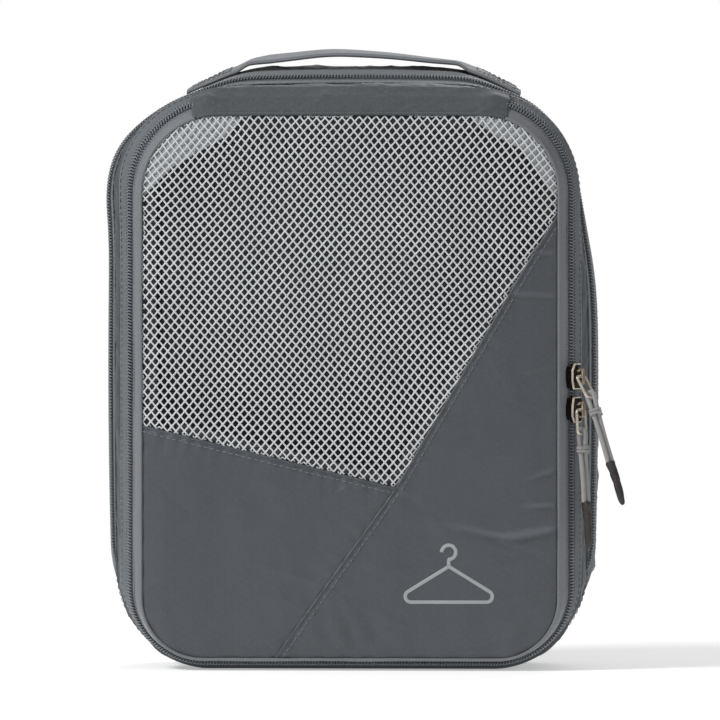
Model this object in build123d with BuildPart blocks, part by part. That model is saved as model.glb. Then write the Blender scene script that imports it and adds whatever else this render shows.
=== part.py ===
from build123d import *
from math import cos, pi, radians, sin, tan
import os

os.makedirs("parts", exist_ok=True)

# Small two-zip compression packing cube, standing on its underside.
# +Z up, front (mesh flap) towards -Y, origin under the middle. Millimetres.

# ---------------------------------------------------------------- dimensions
FABRIC = 1.1  # gusset and panel cloth with its seam allowance
TAPE = 0.9  # zip tape
CHAIN_RISE = 1.6  # coil above its tape
MAIN_COIL = 1.6  # half width of the opening zip's chain, front to back
COMP_COIL = 2.0  # half width of the compression zip's chain
GAP = 0.3  # clearance between pieces that move apart

FRONT_SEAM_Y = -36.0
MAIN_CHAIN_Y = -29.0  # opening zip
TAPE_EDGE_Y = -22.0
COMP_CHAIN_Y = -6.0  # compression zip
BACK_SEAM_Y = 38.0
GROOVE = 8.5  # depth of the underside valley that the compression zip lies in
HINGE_HALF = 64.0  # half length of the cloth hinge over the top
HINGE_Z = 243.0

EXPANSION = 40.0  # what the compression zip lets out

# Sections of the stuffed body, front to back:
# y, half width, bottom, top, top corner radius, bottom corner radius, side bow, crown
SECTIONS = [
    (FRONT_SEAM_Y, 88.4, 4.7, 235.4, 33.0, 26.0, 0.05, 0.5),
    (TAPE_EDGE_Y, 98.0, 2.5, 249.5, 46.0, 38.0, 0.05, 2.0),
    (-20.0, 98.7, 0.0, 250.0, 47.5, 39.0, 0.3, 2.2),
    (-13.0, 101.0, 0.0, 251.5, 52.0, 43.0, 1.5, 3.0),
    (-12.0, 101.3, GROOVE, 251.9, 53.0, 44.0, 1.6, 3.1),
    (0.0, 104.2, GROOVE, 255.2, 61.0, 51.0, 2.8, 3.9),
    (1.0, 104.5, 0.0, 255.5, 62.0, 52.0, 3.0, 4.0),
    (14.0, 105.0, 0.0, 256.5, 65.0, 54.0, 3.0, 4.5),
    (28.0, 101.0, 0.0, 253.0, 58.0, 48.0, 2.0, 3.5),
    (BACK_SEAM_Y, 90.0, 4.5, 237.0, 35.0, 28.0, 0.05, 0.5),
]


def at(y):
    """The section at depth y, between the two stated beside it."""
    for a, b in zip(SECTIONS, SECTIONS[1:]):
        if a[0] <= y <= b[0]:
            f = (y - a[0]) / (b[0] - a[0])
            return tuple(p + f * (q - p) for p, q in zip(a, b))
    raise ValueError(y)


def between(y0, y1):
    """Every section from depth y0 to depth y1."""
    return [at(y0)] + [s for s in SECTIONS if y0 < s[0] < y1] + [at(y1)]


def band(rows, deep, rise=0.0, cut=None, keep=None):
    """A closed band of cloth through the sections, deep inside them and rise outside.

    cut leaves out the top between -cut and +cut; keep keeps only (x0, x1) of the top.
    """
    with BuildPart() as b:
        for inset, mode in ((-rise, Mode.ADD), (deep, Mode.SUBTRACT)):
            for y, w, low, high, rt, rb, side, crown in rows:
                hw, z0, z1 = w - inset, low + inset, high - inset
                with BuildSketch(Plane.XZ.offset(-y)) as s:
                    with BuildLine():
                        Line((side - hw, z0), (hw - side, z0))
                        ThreePointArc((hw - side, z0), (hw, (z0 + z1) / 2), (hw - side, z1 - crown))
                        ThreePointArc((hw - side, z1 - crown), (0, z1), (side - hw, z1 - crown))
                        ThreePointArc((side - hw, z1 - crown), (-hw, (z0 + z1) / 2), (side - hw, z0))
                    make_face()
                    fillet(s.vertices().group_by(Axis.Y)[0], rb - inset)
                    fillet(s.vertices().group_by(Axis.Y)[-1], rt - inset)
            loft(ruled=True, mode=mode)
        if cut is not None:
            with BuildSketch(Plane.XY.offset(225)):
                Rectangle(2 * cut, 200)
            extrude(amount=60, mode=Mode.SUBTRACT)
        if keep is not None:
            with BuildSketch(Plane.XY.offset(225)):
                with Locations(((keep[0] + keep[1]) / 2, 0)):
                    Rectangle(keep[1] - keep[0], 200)
            extrude(amount=60, mode=Mode.INTERSECT)
    return b


def panel(seam_y, out, near, far, region=None, strips=None):
    """A slightly domed panel inside the seam at seam_y. out is -1 to the front, +1 to
    the back; near and far are how far its two faces are set in from the outermost skin.

    region is the polygon that is cut from it; strips are lines traced 9 mm wide."""
    row = at(seam_y)
    levels = [(0.0, 0.0), (3.2, 13.0), (5.0, 42.0)] if out < 0 else [(0.0, 0.0), (2.0, 14.0), (3.0, 44.0)]
    with BuildPart() as p:
        for back, mode in ((near, Mode.ADD), (far, Mode.SUBTRACT)):
            for lift, inset in levels:
                y, w, low, high, rt, rb, side, crown = row
                hw, z0, z1 = w - inset, low + inset, high - inset
                depth = seam_y + out * (lift - back)
                with BuildSketch(Plane.XZ.offset(-depth)) as s:
                    with BuildLine():
                        Line((side - hw, z0), (hw - side, z0))
                        ThreePointArc((hw - side, z0), (hw, (z0 + z1) / 2), (hw - side, z1 - crown))
                        ThreePointArc((hw - side, z1 - crown), (0, z1), (side - hw, z1 - crown))
                        ThreePointArc((side - hw, z1 - crown), (-hw, (z0 + z1) / 2), (side - hw, z0))
                    make_face()
                    fillet(s.vertices().group_by(Axis.Y)[0], max(rb - inset * 0.45, 6))
                    fillet(s.vertices().group_by(Axis.Y)[-1], max(rt - inset * 0.45, 6))
            loft(ruled=True, mode=mode)
        if region is not None:
            with BuildSketch(Plane.XZ.offset(30)):
                with BuildLine():
                    Polyline(*region, close=True)
                make_face()
            extrude(amount=15, mode=Mode.INTERSECT)
        if strips is not None:
            with BuildSketch(Plane.XZ.offset(30)):
                for line in strips:
                    with BuildLine() as l:
                        Polyline(*line)
                    trace(l.line, line_width=9)
            extrude(amount=15, mode=Mode.INTERSECT)
    return p


def save(part, name):
    part.label = name
    export_step(part, f"parts/{name}.step")
    print(f"{name:24s} solids {len(part.solids())}  volume {part.volume:10.1f}")


# ---------------------------------------------------------------- rear shell
rear_gusset = band(between(1.0, BACK_SEAM_Y), FABRIC)
save(rear_gusset.part, "rear_gusset")

back_panel = panel(BACK_SEAM_Y, 1, 0.0, FABRIC)
save(back_panel.part, "back_panel")

# bias tape that binds the back seam on the inside
binding_back_rows = [
    tuple(a + b for a, b in zip(at(BACK_SEAM_Y - 2.6), (0, -FABRIC, FABRIC, -FABRIC, -FABRIC, -FABRIC, 0, 0))),
    tuple(a + b for a, b in zip(at(BACK_SEAM_Y - 1.2), (0, -FABRIC, FABRIC, -FABRIC, -FABRIC, -FABRIC, 0, 0))),
]
back_seam_binding = band(binding_back_rows, 8.0)
save(back_seam_binding.part, "back_seam_binding")

comp_zip_tape_rear = band(between(COMP_CHAIN_Y + GAP / 2, 1.0), TAPE)
save(comp_zip_tape_rear.part, "comp_zip_tape_rear")

comp_zip_coil_rear = band(between(COMP_CHAIN_Y + GAP / 2, COMP_CHAIN_Y + COMP_COIL), 0.0, CHAIN_RISE)
save(comp_zip_coil_rear.part, "comp_zip_coil_rear")

# The cloth that the compression zip takes up, folded flat against the inside wall.
pleat_rows = [
    (-19.0, 95.6, 11.6, 246.0, 44.0, 40.0, 0.05, 2.0),
    (7.0, 99.6, 11.6, 250.0, 56.0, 50.0, 0.05, 3.0),
]
expansion_gusset = band(pleat_rows, 1.6)
save(expansion_gusset.part, "expansion_gusset")

# ---------------------------------------------------------------- front frame
mid_gusset = band(between(TAPE_EDGE_Y, -13.0), FABRIC)
save(mid_gusset.part, "mid_gusset")

comp_zip_tape_front = band(between(-13.0, COMP_CHAIN_Y - GAP / 2), TAPE)
save(comp_zip_tape_front.part, "comp_zip_tape_front")

comp_zip_coil_front = band(between(COMP_CHAIN_Y - COMP_COIL, COMP_CHAIN_Y - GAP / 2), 0.0, CHAIN_RISE)
save(comp_zip_coil_front.part, "comp_zip_coil_front")

main_zip_tape_rear = band(between(MAIN_CHAIN_Y + GAP / 2, TAPE_EDGE_Y), TAPE, cut=HINGE_HALF)
save(main_zip_tape_rear.part, "main_zip_tape_rear")

main_zip_coil_rear = band(
    between(MAIN_CHAIN_Y + GAP / 2, MAIN_CHAIN_Y + MAIN_COIL), 0.0, CHAIN_RISE, cut=HINGE_HALF
)
save(main_zip_coil_rear.part, "main_zip_coil_rear")

hinge_band_rear = band(
    between(MAIN_CHAIN_Y + GAP / 2, TAPE_EDGE_Y), FABRIC, keep=(-HINGE_HALF, HINGE_HALF)
)
save(hinge_band_rear.part, "hinge_band_rear")

inset_row = (0, -FABRIC, FABRIC, -FABRIC, -FABRIC, -FABRIC, 0, 0)
mid_seam_binding = band(
    [tuple(a + b for a, b in zip(at(v), inset_row)) for v in (-21.4, -20.0)], 1.4
)
save(mid_seam_binding.part, "mid_seam_binding")

# ---------------------------------------------------------------- front flap
main_zip_tape_front = band(between(FRONT_SEAM_Y, MAIN_CHAIN_Y - GAP / 2), TAPE, cut=HINGE_HALF)
save(main_zip_tape_front.part, "main_zip_tape_front")

main_zip_coil_front = band(
    between(MAIN_CHAIN_Y - MAIN_COIL, MAIN_CHAIN_Y - GAP / 2), 0.0, CHAIN_RISE, cut=HINGE_HALF
)
save(main_zip_coil_front.part, "main_zip_coil_front")

hinge_band_front = band(
    between(FRONT_SEAM_Y, MAIN_CHAIN_Y - GAP / 2), FABRIC, keep=(-HINGE_HALF, HINGE_HALF)
)
save(hinge_band_front.part, "hinge_band_front")

front_seam_binding = band(
    [tuple(a + b for a, b in zip(at(v), inset_row)) for v in (-35.9, -34.6)], 7.5
)
save(front_seam_binding.part, "front_seam_binding")

# The three pieces of the front meet at one point low on the right of the middle.
SEAM_LEFT = (-120.0, 111.5)
SEAM_MEET = (19.6, 77.6)
SEAM_KINK = (71.8, 167.2)
SEAM_RIGHT = (120.0, 245.6)
SEAM_FOOT = (-38.7, -4.0)

mesh_window = panel(
    FRONT_SEAM_Y, -1, 0.0, 1.0,
    region=[SEAM_LEFT, SEAM_MEET, SEAM_KINK, SEAM_RIGHT, (120, 270), (-120, 270)],
)
save(mesh_window.part, "mesh_window")

lower_left_panel = panel(
    FRONT_SEAM_Y, -1, 0.0, 1.0,
    region=[SEAM_LEFT, SEAM_MEET, SEAM_FOOT, (-120, -4)],
)
save(lower_left_panel.part, "lower_left_panel")

lower_right_panel = panel(
    FRONT_SEAM_Y, -1, 0.0, 1.0,
    region=[SEAM_MEET, SEAM_KINK, SEAM_RIGHT, (120, -4), SEAM_FOOT],
)
save(lower_right_panel.part, "lower_right_panel")

panel_seam_binding = panel(
    FRONT_SEAM_Y, -1, 1.0, 1.7,
    strips=[
        [(-74.0, 100.3), SEAM_MEET, SEAM_KINK, (75.0, 172.4)],
        [SEAM_MEET, (-23.0, 18.6)],
    ],
)
save(panel_seam_binding.part, "panel_seam_binding")

# ---------------------------------------------------------------- handle
HANDLE_Y = 13.0
HANDLE_WIDE = 20.0
HANDLE_THICK = 2.0
HANDLE_TOP = 264.6
HANDLE_MID = 36.0  # half length of the free middle
ARCH_R = 165.9
arch_inner = HANDLE_TOP - HANDLE_THICK


def arch(x0, x1):
    """Webbing strap between x0 and x1, curved over the top gusset."""
    xm = (x0 + x1) / 2

    def z(x, top):
        return top - x * x / (2 * ARCH_R)

    with BuildPart() as a:
        with BuildSketch(Plane.XZ.offset(-(HANDLE_Y + HANDLE_WIDE / 2))):
            with BuildLine():
                ThreePointArc((x0, z(x0, arch_inner)), (xm, z(xm, arch_inner)), (x1, z(x1, arch_inner)))
                Line((x1, z(x1, arch_inner)), (x1, z(x1, HANDLE_TOP)))
                ThreePointArc((x1, z(x1, HANDLE_TOP)), (xm, z(xm, HANDLE_TOP)), (x0, z(x0, HANDLE_TOP)))
                Line((x0, z(x0, HANDLE_TOP)), (x0, z(x0, arch_inner)))
            make_face()
        extrude(amount=HANDLE_WIDE)
    return a


handle_webbing = arch(-HANDLE_MID, HANDLE_MID)
save(handle_webbing.part, "handle_webbing")

for name, sign in (("handle_end_left", -1), ("handle_end_right", 1)):
    x0, x1 = sorted((sign * 70.5, sign * 48.8))
    sewn = band(
        between(HANDLE_Y - HANDLE_WIDE / 2, HANDLE_Y + HANDLE_WIDE / 2), 0.0, HANDLE_THICK, keep=(x0, x1)
    )
    ramp = arch(*sorted((sign * 49.9, sign * (HANDLE_MID + GAP))))
    with BuildPart() as end:
        add(sewn.part)
        add(ramp.part)
    save(end.part, name)

# ---------------------------------------------------------------- zip sliders
SLIDER_LONG = 11.0
SLIDER_WIDE = 8.0
SLIDER_HIGH = 3.9  # top plate above the tape
PIVOT_N = 5.1  # ring wire above the tape
RING_LONG = 10.0
RING_HALF = 3.0
WIRE = 0.6  # radius
CORD = 1.0  # radius
CORD_LONG = 29.0
END_LONG = 19.0


def slider(plane):
    """Slider body over a closed chain, its bail, and its inner plate under the tapes.

    plane: origin on the tape over the chain, x across it, y along it towards the closed
    chain, z outwards."""
    with BuildPart() as s:
        with BuildSketch(plane.offset(GAP)) as foot:
            with BuildLine():
                Polyline(
                    (-2.4, 5.5), (2.4, 5.5), (4.0, 2.6), (4.0, -1.6), (3.0, -5.5),
                    (-3.0, -5.5), (-4.0, -1.6), (-4.0, 2.6), close=True,
                )
            make_face()
            fillet(foot.vertices(), 0.8)
        extrude(amount=SLIDER_HIGH - GAP)
        fillet(s.faces().sort_by(Axis(plane.origin, plane.z_dir))[-1].edges(), 0.8)
        # channel for the coils
        with BuildSketch(plane.offset(0)):
            Rectangle(6.2, 14)
        extrude(amount=CHAIN_RISE + GAP, mode=Mode.SUBTRACT)
        # bail that holds the ring
        side = Plane(origin=plane.origin, x_dir=plane.y_dir, z_dir=plane.x_dir)
        with BuildSketch(side.offset(-0.9)):
            with Locations((0, (SLIDER_HIGH - 0.2 + 6.9) / 2)):
                RectangleRounded(6.8, 6.9 - SLIDER_HIGH + 0.2, 1.2)
            with Locations((0, (SLIDER_HIGH + 6.1) / 2)):
                RectangleRounded(5.2, 6.1 - SLIDER_HIGH, 0.7, mode=Mode.SUBTRACT)
        extrude(amount=1.8)
        # inner plate
        with BuildSketch(plane.offset(-TAPE - GAP - 1.0)):
            with BuildLine():
                Polyline(
                    (-2.4, 5.5), (2.4, 5.5), (4.0, 2.6), (4.0, -1.6), (3.0, -5.5),
                    (-3.0, -5.5), (-4.0, -1.6), (-4.0, 2.6), close=True,
                )
            make_face()
        extrude(amount=1.0)
    return s


def ring(plane):
    """Wire loop. plane: origin on the bail's pivot, x along the pull."""
    with BuildPart() as r:
        with BuildLine(plane) as path:
            FilletPolyline(
                (0, -RING_HALF), (RING_LONG, -RING_HALF), (RING_LONG, RING_HALF), (0, RING_HALF),
                radius=1.2, close=True,
            )
        start = path.line.edges().sort_by(Axis(plane.origin, plane.y_dir))[-1]
        with BuildSketch(Plane(origin=start @ 0.5, z_dir=start % 0.5)):
            Circle(WIRE)
        sweep(path=path.line)
    return r


# One cord doubled over the ring's far bar: route in the pull's own plane, whose origin
# is on that bar, x along the pull, y across, z outwards.
CORD_ROUTE = [
    (CORD_LONG, 0.95, 0.55),
    (20.0, 1.55, 0.15),
    (11.0, 1.05, 1.25),
    (3.6, 0.45, 2.05),
    (-2.0, 0.15, 1.95),
    (-2.0, -0.15, -1.95),
    (3.6, -0.45, -2.05),
    (11.0, -1.05, -1.25),
    (20.0, -1.55, -0.15),
    (CORD_LONG, -0.95, -0.55),
]


def cord(plane, name):
    pts = [Vector(*p) for p in CORD_ROUTE]
    radii = []
    for a, b, c in zip(pts, pts[1:], pts[2:]):
        turn = radians((b - a).get_angle(c - b))
        radii.append(0.45 * min((b - a).length, (c - b).length) / tan(turn / 2))
    print(name, "bend radii", [round(r, 1) for r in radii])
    with BuildPart() as c:
        with BuildLine(plane) as path:
            FilletPolyline(*CORD_ROUTE, radius=radii)
        with BuildSketch(Plane(origin=path.line @ 0, z_dir=path.line % 0)):
            Circle(CORD)
        sweep(path=path.line)
    run = sum(e.length for e in path.line.edges())
    print("   length", round(run, 2), "section x length", round(pi * CORD**2 * run, 1))
    return c


def cord_end(plane):
    """Moulded end that closes the doubled cord."""
    with BuildPart() as e:
        with BuildSketch(Plane(origin=plane.origin, x_dir=plane.x_dir, z_dir=plane.z_dir)):
            with BuildLine():
                Polyline(
                    (CORD_LONG, 0), (CORD_LONG, 2.1), (CORD_LONG + 2.5, 2.3),
                    (CORD_LONG + END_LONG - 3.5, 1.9), (CORD_LONG + END_LONG - 1.0, 1.5),
                    (CORD_LONG + END_LONG, 0.7), (CORD_LONG + END_LONG, 0), close=True,
                )
            make_face()
        revolve(axis=Axis(plane.origin, plane.x_dir))
    return e


def tilted(pivot, along, out, angle):
    """Plane of a pull that hangs along and leans out by angle: x down the pull."""
    t = radians(angle)
    d = along * cos(t) + out * sin(t)
    n = out * cos(t) - along * sin(t)
    return Plane(origin=pivot, x_dir=d, z_dir=n)


f0, f1 = at(FRONT_SEAM_Y), at(TAPE_EDGE_Y)
slope = Vector(f1[1] - f0[1], f1[0] - f0[0], 0).normalized()  # across the zip, to the back
side_out = Vector(slope.Y, -slope.X, 0)  # outward from the right side
down = Vector(0, 0, -1)

UPPER_Z, LOWER_Z = 124.4, 110.3
PULLS = (
    ("upper", UPPER_Z, 32.0, 20.0),
    ("lower", LOWER_Z, 4.0, 4.3),
)
for which, z, ring_lean, cord_lean in PULLS:
    flip = 1 if which == "upper" else -1
    spot = Plane(origin=(at(MAIN_CHAIN_Y)[1], MAIN_CHAIN_Y, z), x_dir=slope * flip, z_dir=side_out)
    body = slider(spot)
    save(body.part, f"main_slider_{which}")
    pivot = Vector(*spot.origin) + side_out * PIVOT_N
    loop = tilted(pivot, down, side_out, ring_lean)
    save(ring(loop).part, f"pull_ring_{which}")
    bar = pivot + loop.x_dir * RING_LONG
    hang = tilted(bar, down, side_out, cord_lean)
    save(cord(hang, f"pull_cord_{which}").part, f"pull_cord_{which}")
    save(cord_end(hang).part, f"cord_end_{which}")
    print(which, "pivot", tuple(round(v, 3) for v in pivot), "bar", tuple(round(v, 3) for v in bar))
print("across", tuple(round(v, 5) for v in slope), "out", tuple(round(v, 5) for v in side_out))

# Compression zip's slider, in the valley under the cube, its pull laid along the chain.
COMP_X = -25.0
spot = Plane(origin=(COMP_X, COMP_CHAIN_Y, GROOVE), x_dir=(0, 1, 0), z_dir=(0, 0, -1))
save(slider(spot).part, "comp_slider")
pivot = Vector(COMP_X, COMP_CHAIN_Y, GROOVE - PIVOT_N)
loop = Plane(origin=pivot, x_dir=(1, 0, 0), z_dir=(0, 0, -1))
save(ring(loop).part, "comp_pull_ring")
bar = pivot + Vector(RING_LONG, 0, 0)
lay = Plane(origin=bar, x_dir=(1, 0, 0), z_dir=(0, 0, -1))
save(cord(lay, "comp_pull_cord").part, "comp_pull_cord")
save(cord_end(lay).part, "comp_cord_end")
print("comp pivot", tuple(pivot), "bar", tuple(bar))
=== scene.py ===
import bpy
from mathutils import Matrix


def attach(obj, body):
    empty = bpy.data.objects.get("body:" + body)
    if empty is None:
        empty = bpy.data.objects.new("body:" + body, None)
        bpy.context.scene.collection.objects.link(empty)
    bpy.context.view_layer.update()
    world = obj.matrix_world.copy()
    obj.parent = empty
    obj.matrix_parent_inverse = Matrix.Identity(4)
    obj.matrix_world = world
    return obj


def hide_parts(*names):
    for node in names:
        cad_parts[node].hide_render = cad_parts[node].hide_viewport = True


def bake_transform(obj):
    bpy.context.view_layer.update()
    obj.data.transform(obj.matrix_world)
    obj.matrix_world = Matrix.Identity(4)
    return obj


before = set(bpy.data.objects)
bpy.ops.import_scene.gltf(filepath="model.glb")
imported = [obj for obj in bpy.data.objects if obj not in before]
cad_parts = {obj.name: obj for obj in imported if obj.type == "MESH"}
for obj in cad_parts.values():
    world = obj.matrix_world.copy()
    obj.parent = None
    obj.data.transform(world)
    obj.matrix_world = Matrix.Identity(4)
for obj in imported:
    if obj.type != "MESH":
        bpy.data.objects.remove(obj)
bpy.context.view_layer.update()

import math

import bmesh
import bpy
import numpy as np
from mathutils import Vector, noise

MM = 0.001
scene = bpy.context.scene
col = scene.collection


# ------------------------------------------------------------------ camera
# The same angle as the reference view: a long lens from a little right and above.
cam_data = bpy.data.cameras.new("camera")
cam = bpy.data.objects.new("camera", cam_data)
col.objects.link(cam)
cam.location = (0.151, -4.0, 0.231)
look = Vector((0.003, 0.0, 0.1305)) - Vector(cam.location)
cam.rotation_euler = look.to_track_quat("-Z", "Y").to_euler()
cam_data.sensor_width = 36
cam_data.lens = 470
cam_data.clip_end = 50
scene.camera = cam


# ------------------------------------------------------------------ node helpers
def srgb(*c):
    out = []
    for v in c:
        v /= 255
        out.append(v / 12.92 if v <= 0.04045 else ((v + 0.055) / 1.055) ** 2.4)
    return (*out, 1.0)


class Nodes:
    def __init__(self, name):
        self.mat = bpy.data.materials.new(name)
        self.mat.use_nodes = True
        self.t = self.mat.node_tree
        self.bsdf = self.t.nodes["Principled BSDF"]

    def new(self, kind, **kw):
        n = self.t.nodes.new(kind)
        for k, v in kw.items():
            setattr(n, k, v)
        return n

    def link(self, a, b):
        self.t.links.new(a, b)

    def math(self, op, a, b=None, clamp=False):
        n = self.new("ShaderNodeMath", operation=op, use_clamp=clamp)
        for i, v in enumerate((a, b)):
            if v is None:
                continue
            if isinstance(v, (int, float)):
                n.inputs[i].default_value = v
            else:
                self.link(v, n.inputs[i])
        return n.outputs[0]

    def object_co(self):
        return self.new("ShaderNodeTexCoord").outputs["Object"]

    def uv(self):
        return self.new("ShaderNodeUVMap", uv_map="weave").outputs[0]

    def noise(self, co, scale, detail=3.0, rough=0.55, stretch=None):
        if stretch is not None:
            m = self.new("ShaderNodeMapping")
            m.inputs["Scale"].default_value = stretch
            self.link(co, m.inputs["Vector"])
            co = m.outputs[0]
        n = self.new("ShaderNodeTexNoise")
        n.inputs["Scale"].default_value = scale
        n.inputs["Detail"].default_value = detail
        n.inputs["Roughness"].default_value = rough
        self.link(co, n.inputs["Vector"])
        return n.outputs["Fac"]

    def stripes(self, co, direction, pitch, phase=0.0):
        """0 to 1 sine stripes across the direction, pitch apart."""
        d = self.new("ShaderNodeVectorMath", operation="DOT_PRODUCT")
        self.link(co, d.inputs[0])
        k = 2 * math.pi / pitch
        d.inputs[1].default_value = tuple(k * v for v in direction)
        s = self.math("SINE", self.math("ADD", d.outputs["Value"], phase))
        return self.math("MULTIPLY_ADD", s, 0.5) if False else self.math("ADD", self.math("MULTIPLY", s, 0.5), 0.5)

    def ramp(self, fac, stops):
        r = self.new("ShaderNodeValToRGB")
        e = r.color_ramp.elements
        while len(e) < len(stops):
            e.new(0.5)
        for el, (p, c) in zip(e, stops):
            el.position = p
            el.color = c if len(c) == 4 else (*c, 1)
        self.link(fac, r.inputs[0])
        return r.outputs[0]

    def mix(self, fac, a, b):
        n = self.new("ShaderNodeMix", data_type="RGBA")
        for sock, v in ((n.inputs["Factor"], fac), (n.inputs[6], a), (n.inputs[7], b)):
            if isinstance(v, (int, float)):
                sock.default_value = v
            elif isinstance(v, tuple):
                sock.default_value = v
            else:
                self.link(v, sock)
        return n.outputs[2]

    def bump(self, height, strength, distance, normal=None):
        b = self.new("ShaderNodeBump")
        b.inputs["Strength"].default_value = strength
        b.inputs["Distance"].default_value = distance
        self.link(height, b.inputs["Height"])
        if normal is not None:
            self.link(normal, b.inputs["Normal"])
        return b.outputs[0]


def scaled(c, k):
    return tuple(min(1.0, v * k) for v in c[:3]) + (1.0,)


def cloth_material(name, base, rough=0.6, sheen=0.2, weave=0.00042, dots=0.0, mottle=0.10, fold=0.0, speck=1.5):
    """Woven nylon or polyester: a fine plain weave, a faint ripstop honeycomb, mottling, and a painted highlight that
    makes crease ridges paler.
    """
    n = Nodes(name)
    uv, ob = n.uv(), n.object_co()
    warp = n.stripes(uv, (1, 0, 0), weave)
    weft = n.stripes(uv, (0, 1, 0), weave, 0.7)
    thread = n.math("MULTIPLY", warp, weft)
    blotch = n.noise(ob, 38, 4, 0.6)
    grain = n.noise(uv, 2600, 2, 0.7, (1, 0.55, 1))
    tone = n.ramp(blotch, [(0.25, scaled(base, 1 - mottle)), (0.75, scaled(base, 1 + mottle))])
    tone = n.mix(n.math("MULTIPLY", grain, 0.35), tone, scaled(base, 1.28))
    tone = n.mix(n.math("MULTIPLY", thread, 0.16), tone, scaled(base, 1.5))
    heather = n.noise(ob, 820, 2, 0.65)
    tone = n.mix(n.math("MULTIPLY", n.math("SUBTRACT", heather, 0.5, clamp=True), speck, clamp=True), tone, scaled(base, 1.55))
    # painted highlight: where the crease attribute is set, the ridges of hard creases are made paler, as if lit
    painted_highlight = n.new("ShaderNodeAttribute", attribute_name="crease").outputs["Fac"]
    tone = n.mix(n.math("MULTIPLY", painted_highlight, 0.5, clamp=True), tone, scaled(base, 2.6))
    height = n.math("ADD", n.math("MULTIPLY", thread, 0.5), n.math("MULTIPLY", grain, 0.5))
    normal = n.bump(height, 0.30, 0.00018)
    if dots:
        hexes = n.math(
            "ADD",
            n.math("ADD", n.stripes(uv, (1, 0, 0), 0.0027), n.stripes(uv, (0.5, 0.866, 0), 0.0027)),
            n.stripes(uv, (-0.5, 0.866, 0), 0.0027),
        )
        cell = n.math("MULTIPLY", n.math("SUBTRACT", hexes, 1.9, clamp=True), 1.1)
        tone = n.mix(n.math("MULTIPLY", cell, dots), tone, scaled(base, 1.75))
        normal = n.bump(cell, 0.22, 0.00016, normal)
    if fold:
        crease = n.noise(ob, 95, 5, 0.62, (1, 1, 0.55))
        normal = n.bump(crease, fold, 0.0016, normal)
    n.link(tone, n.bsdf.inputs["Base Color"])
    r = n.math("ADD", n.math("MULTIPLY", blotch, 0.16), rough - 0.08)
    n.link(r, n.bsdf.inputs["Roughness"])
    n.link(normal, n.bsdf.inputs["Normal"])
    n.bsdf.inputs["Sheen Weight"].default_value = sheen
    n.bsdf.inputs["Sheen Roughness"].default_value = 0.45
    n.bsdf.inputs["Specular IOR Level"].default_value = 0.5
    return n.mat


def ribbed_material(name, base, pitch, direction=(0, 1, 0), rough=0.7, depth=0.0004, sheen=0.2):
    """Webbing, tape or braid: ribs across, fine picks along."""
    n = Nodes(name)
    uv, ob = n.uv(), n.object_co()
    ribs = n.stripes(uv, direction, pitch)
    cross = (direction[1], direction[0], 0)
    picks = n.stripes(uv, cross, pitch * 0.62)
    blotch = n.noise(ob, 60, 3, 0.6)
    fuzz = n.noise(uv, 3000, 2, 0.7)
    tone = n.ramp(blotch, [(0.3, scaled(base, 0.9)), (0.7, scaled(base, 1.1))])
    tone = n.mix(n.math("MULTIPLY", ribs, 0.4), tone, scaled(base, 1.35))
    tone = n.mix(n.math("MULTIPLY", fuzz, 0.3), tone, scaled(base, 0.7))
    h = n.math("ADD", ribs, n.math("MULTIPLY", n.math("MULTIPLY", picks, ribs), 0.6))
    h = n.math("ADD", h, n.math("MULTIPLY", fuzz, 0.3))
    n.link(tone, n.bsdf.inputs["Base Color"])
    n.link(n.bump(h, 0.5, depth), n.bsdf.inputs["Normal"])
    n.bsdf.inputs["Roughness"].default_value = rough
    n.bsdf.inputs["Sheen Weight"].default_value = sheen
    n.bsdf.inputs["Specular IOR Level"].default_value = 0.35
    return n.mat


def plain_material(name, base, rough, metal=0.0, scale=400, bump=0.15, vary=0.15, painted_highlight=None, spec=0.5):
    """Moulded plastic, nylon or plated metal, with handling marks; the optional edge colour is painted on as a
    highlight along the edges.
    """
    n = Nodes(name)
    ob = n.object_co()
    a = n.noise(ob, scale, 4, 0.6)
    b = n.noise(ob, scale * 4, 2, 0.6)
    tone = n.ramp(a, [(0.3, scaled(base, 1 - vary)), (0.7, scaled(base, 1 + vary))])
    # painted highlight: edges found by pointiness are made brighter
    if painted_highlight is not None:
        edge = n.ramp(n.new("ShaderNodeNewGeometry").outputs["Pointiness"], [(0.5, (0, 0, 0)), (0.56, (1, 1, 1))])
        tone = n.mix(n.math("MULTIPLY", edge, 0.75), tone, painted_highlight)
    n.link(tone, n.bsdf.inputs["Base Color"])
    n.link(n.math("ADD", n.math("MULTIPLY", b, 0.2), rough - 0.1, clamp=True), n.bsdf.inputs["Roughness"])
    n.link(n.bump(n.math("ADD", a, b), bump, 0.0001), n.bsdf.inputs["Normal"])
    n.bsdf.inputs["Metallic"].default_value = metal
    n.bsdf.inputs["Specular IOR Level"].default_value = spec
    return n.mat


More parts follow.
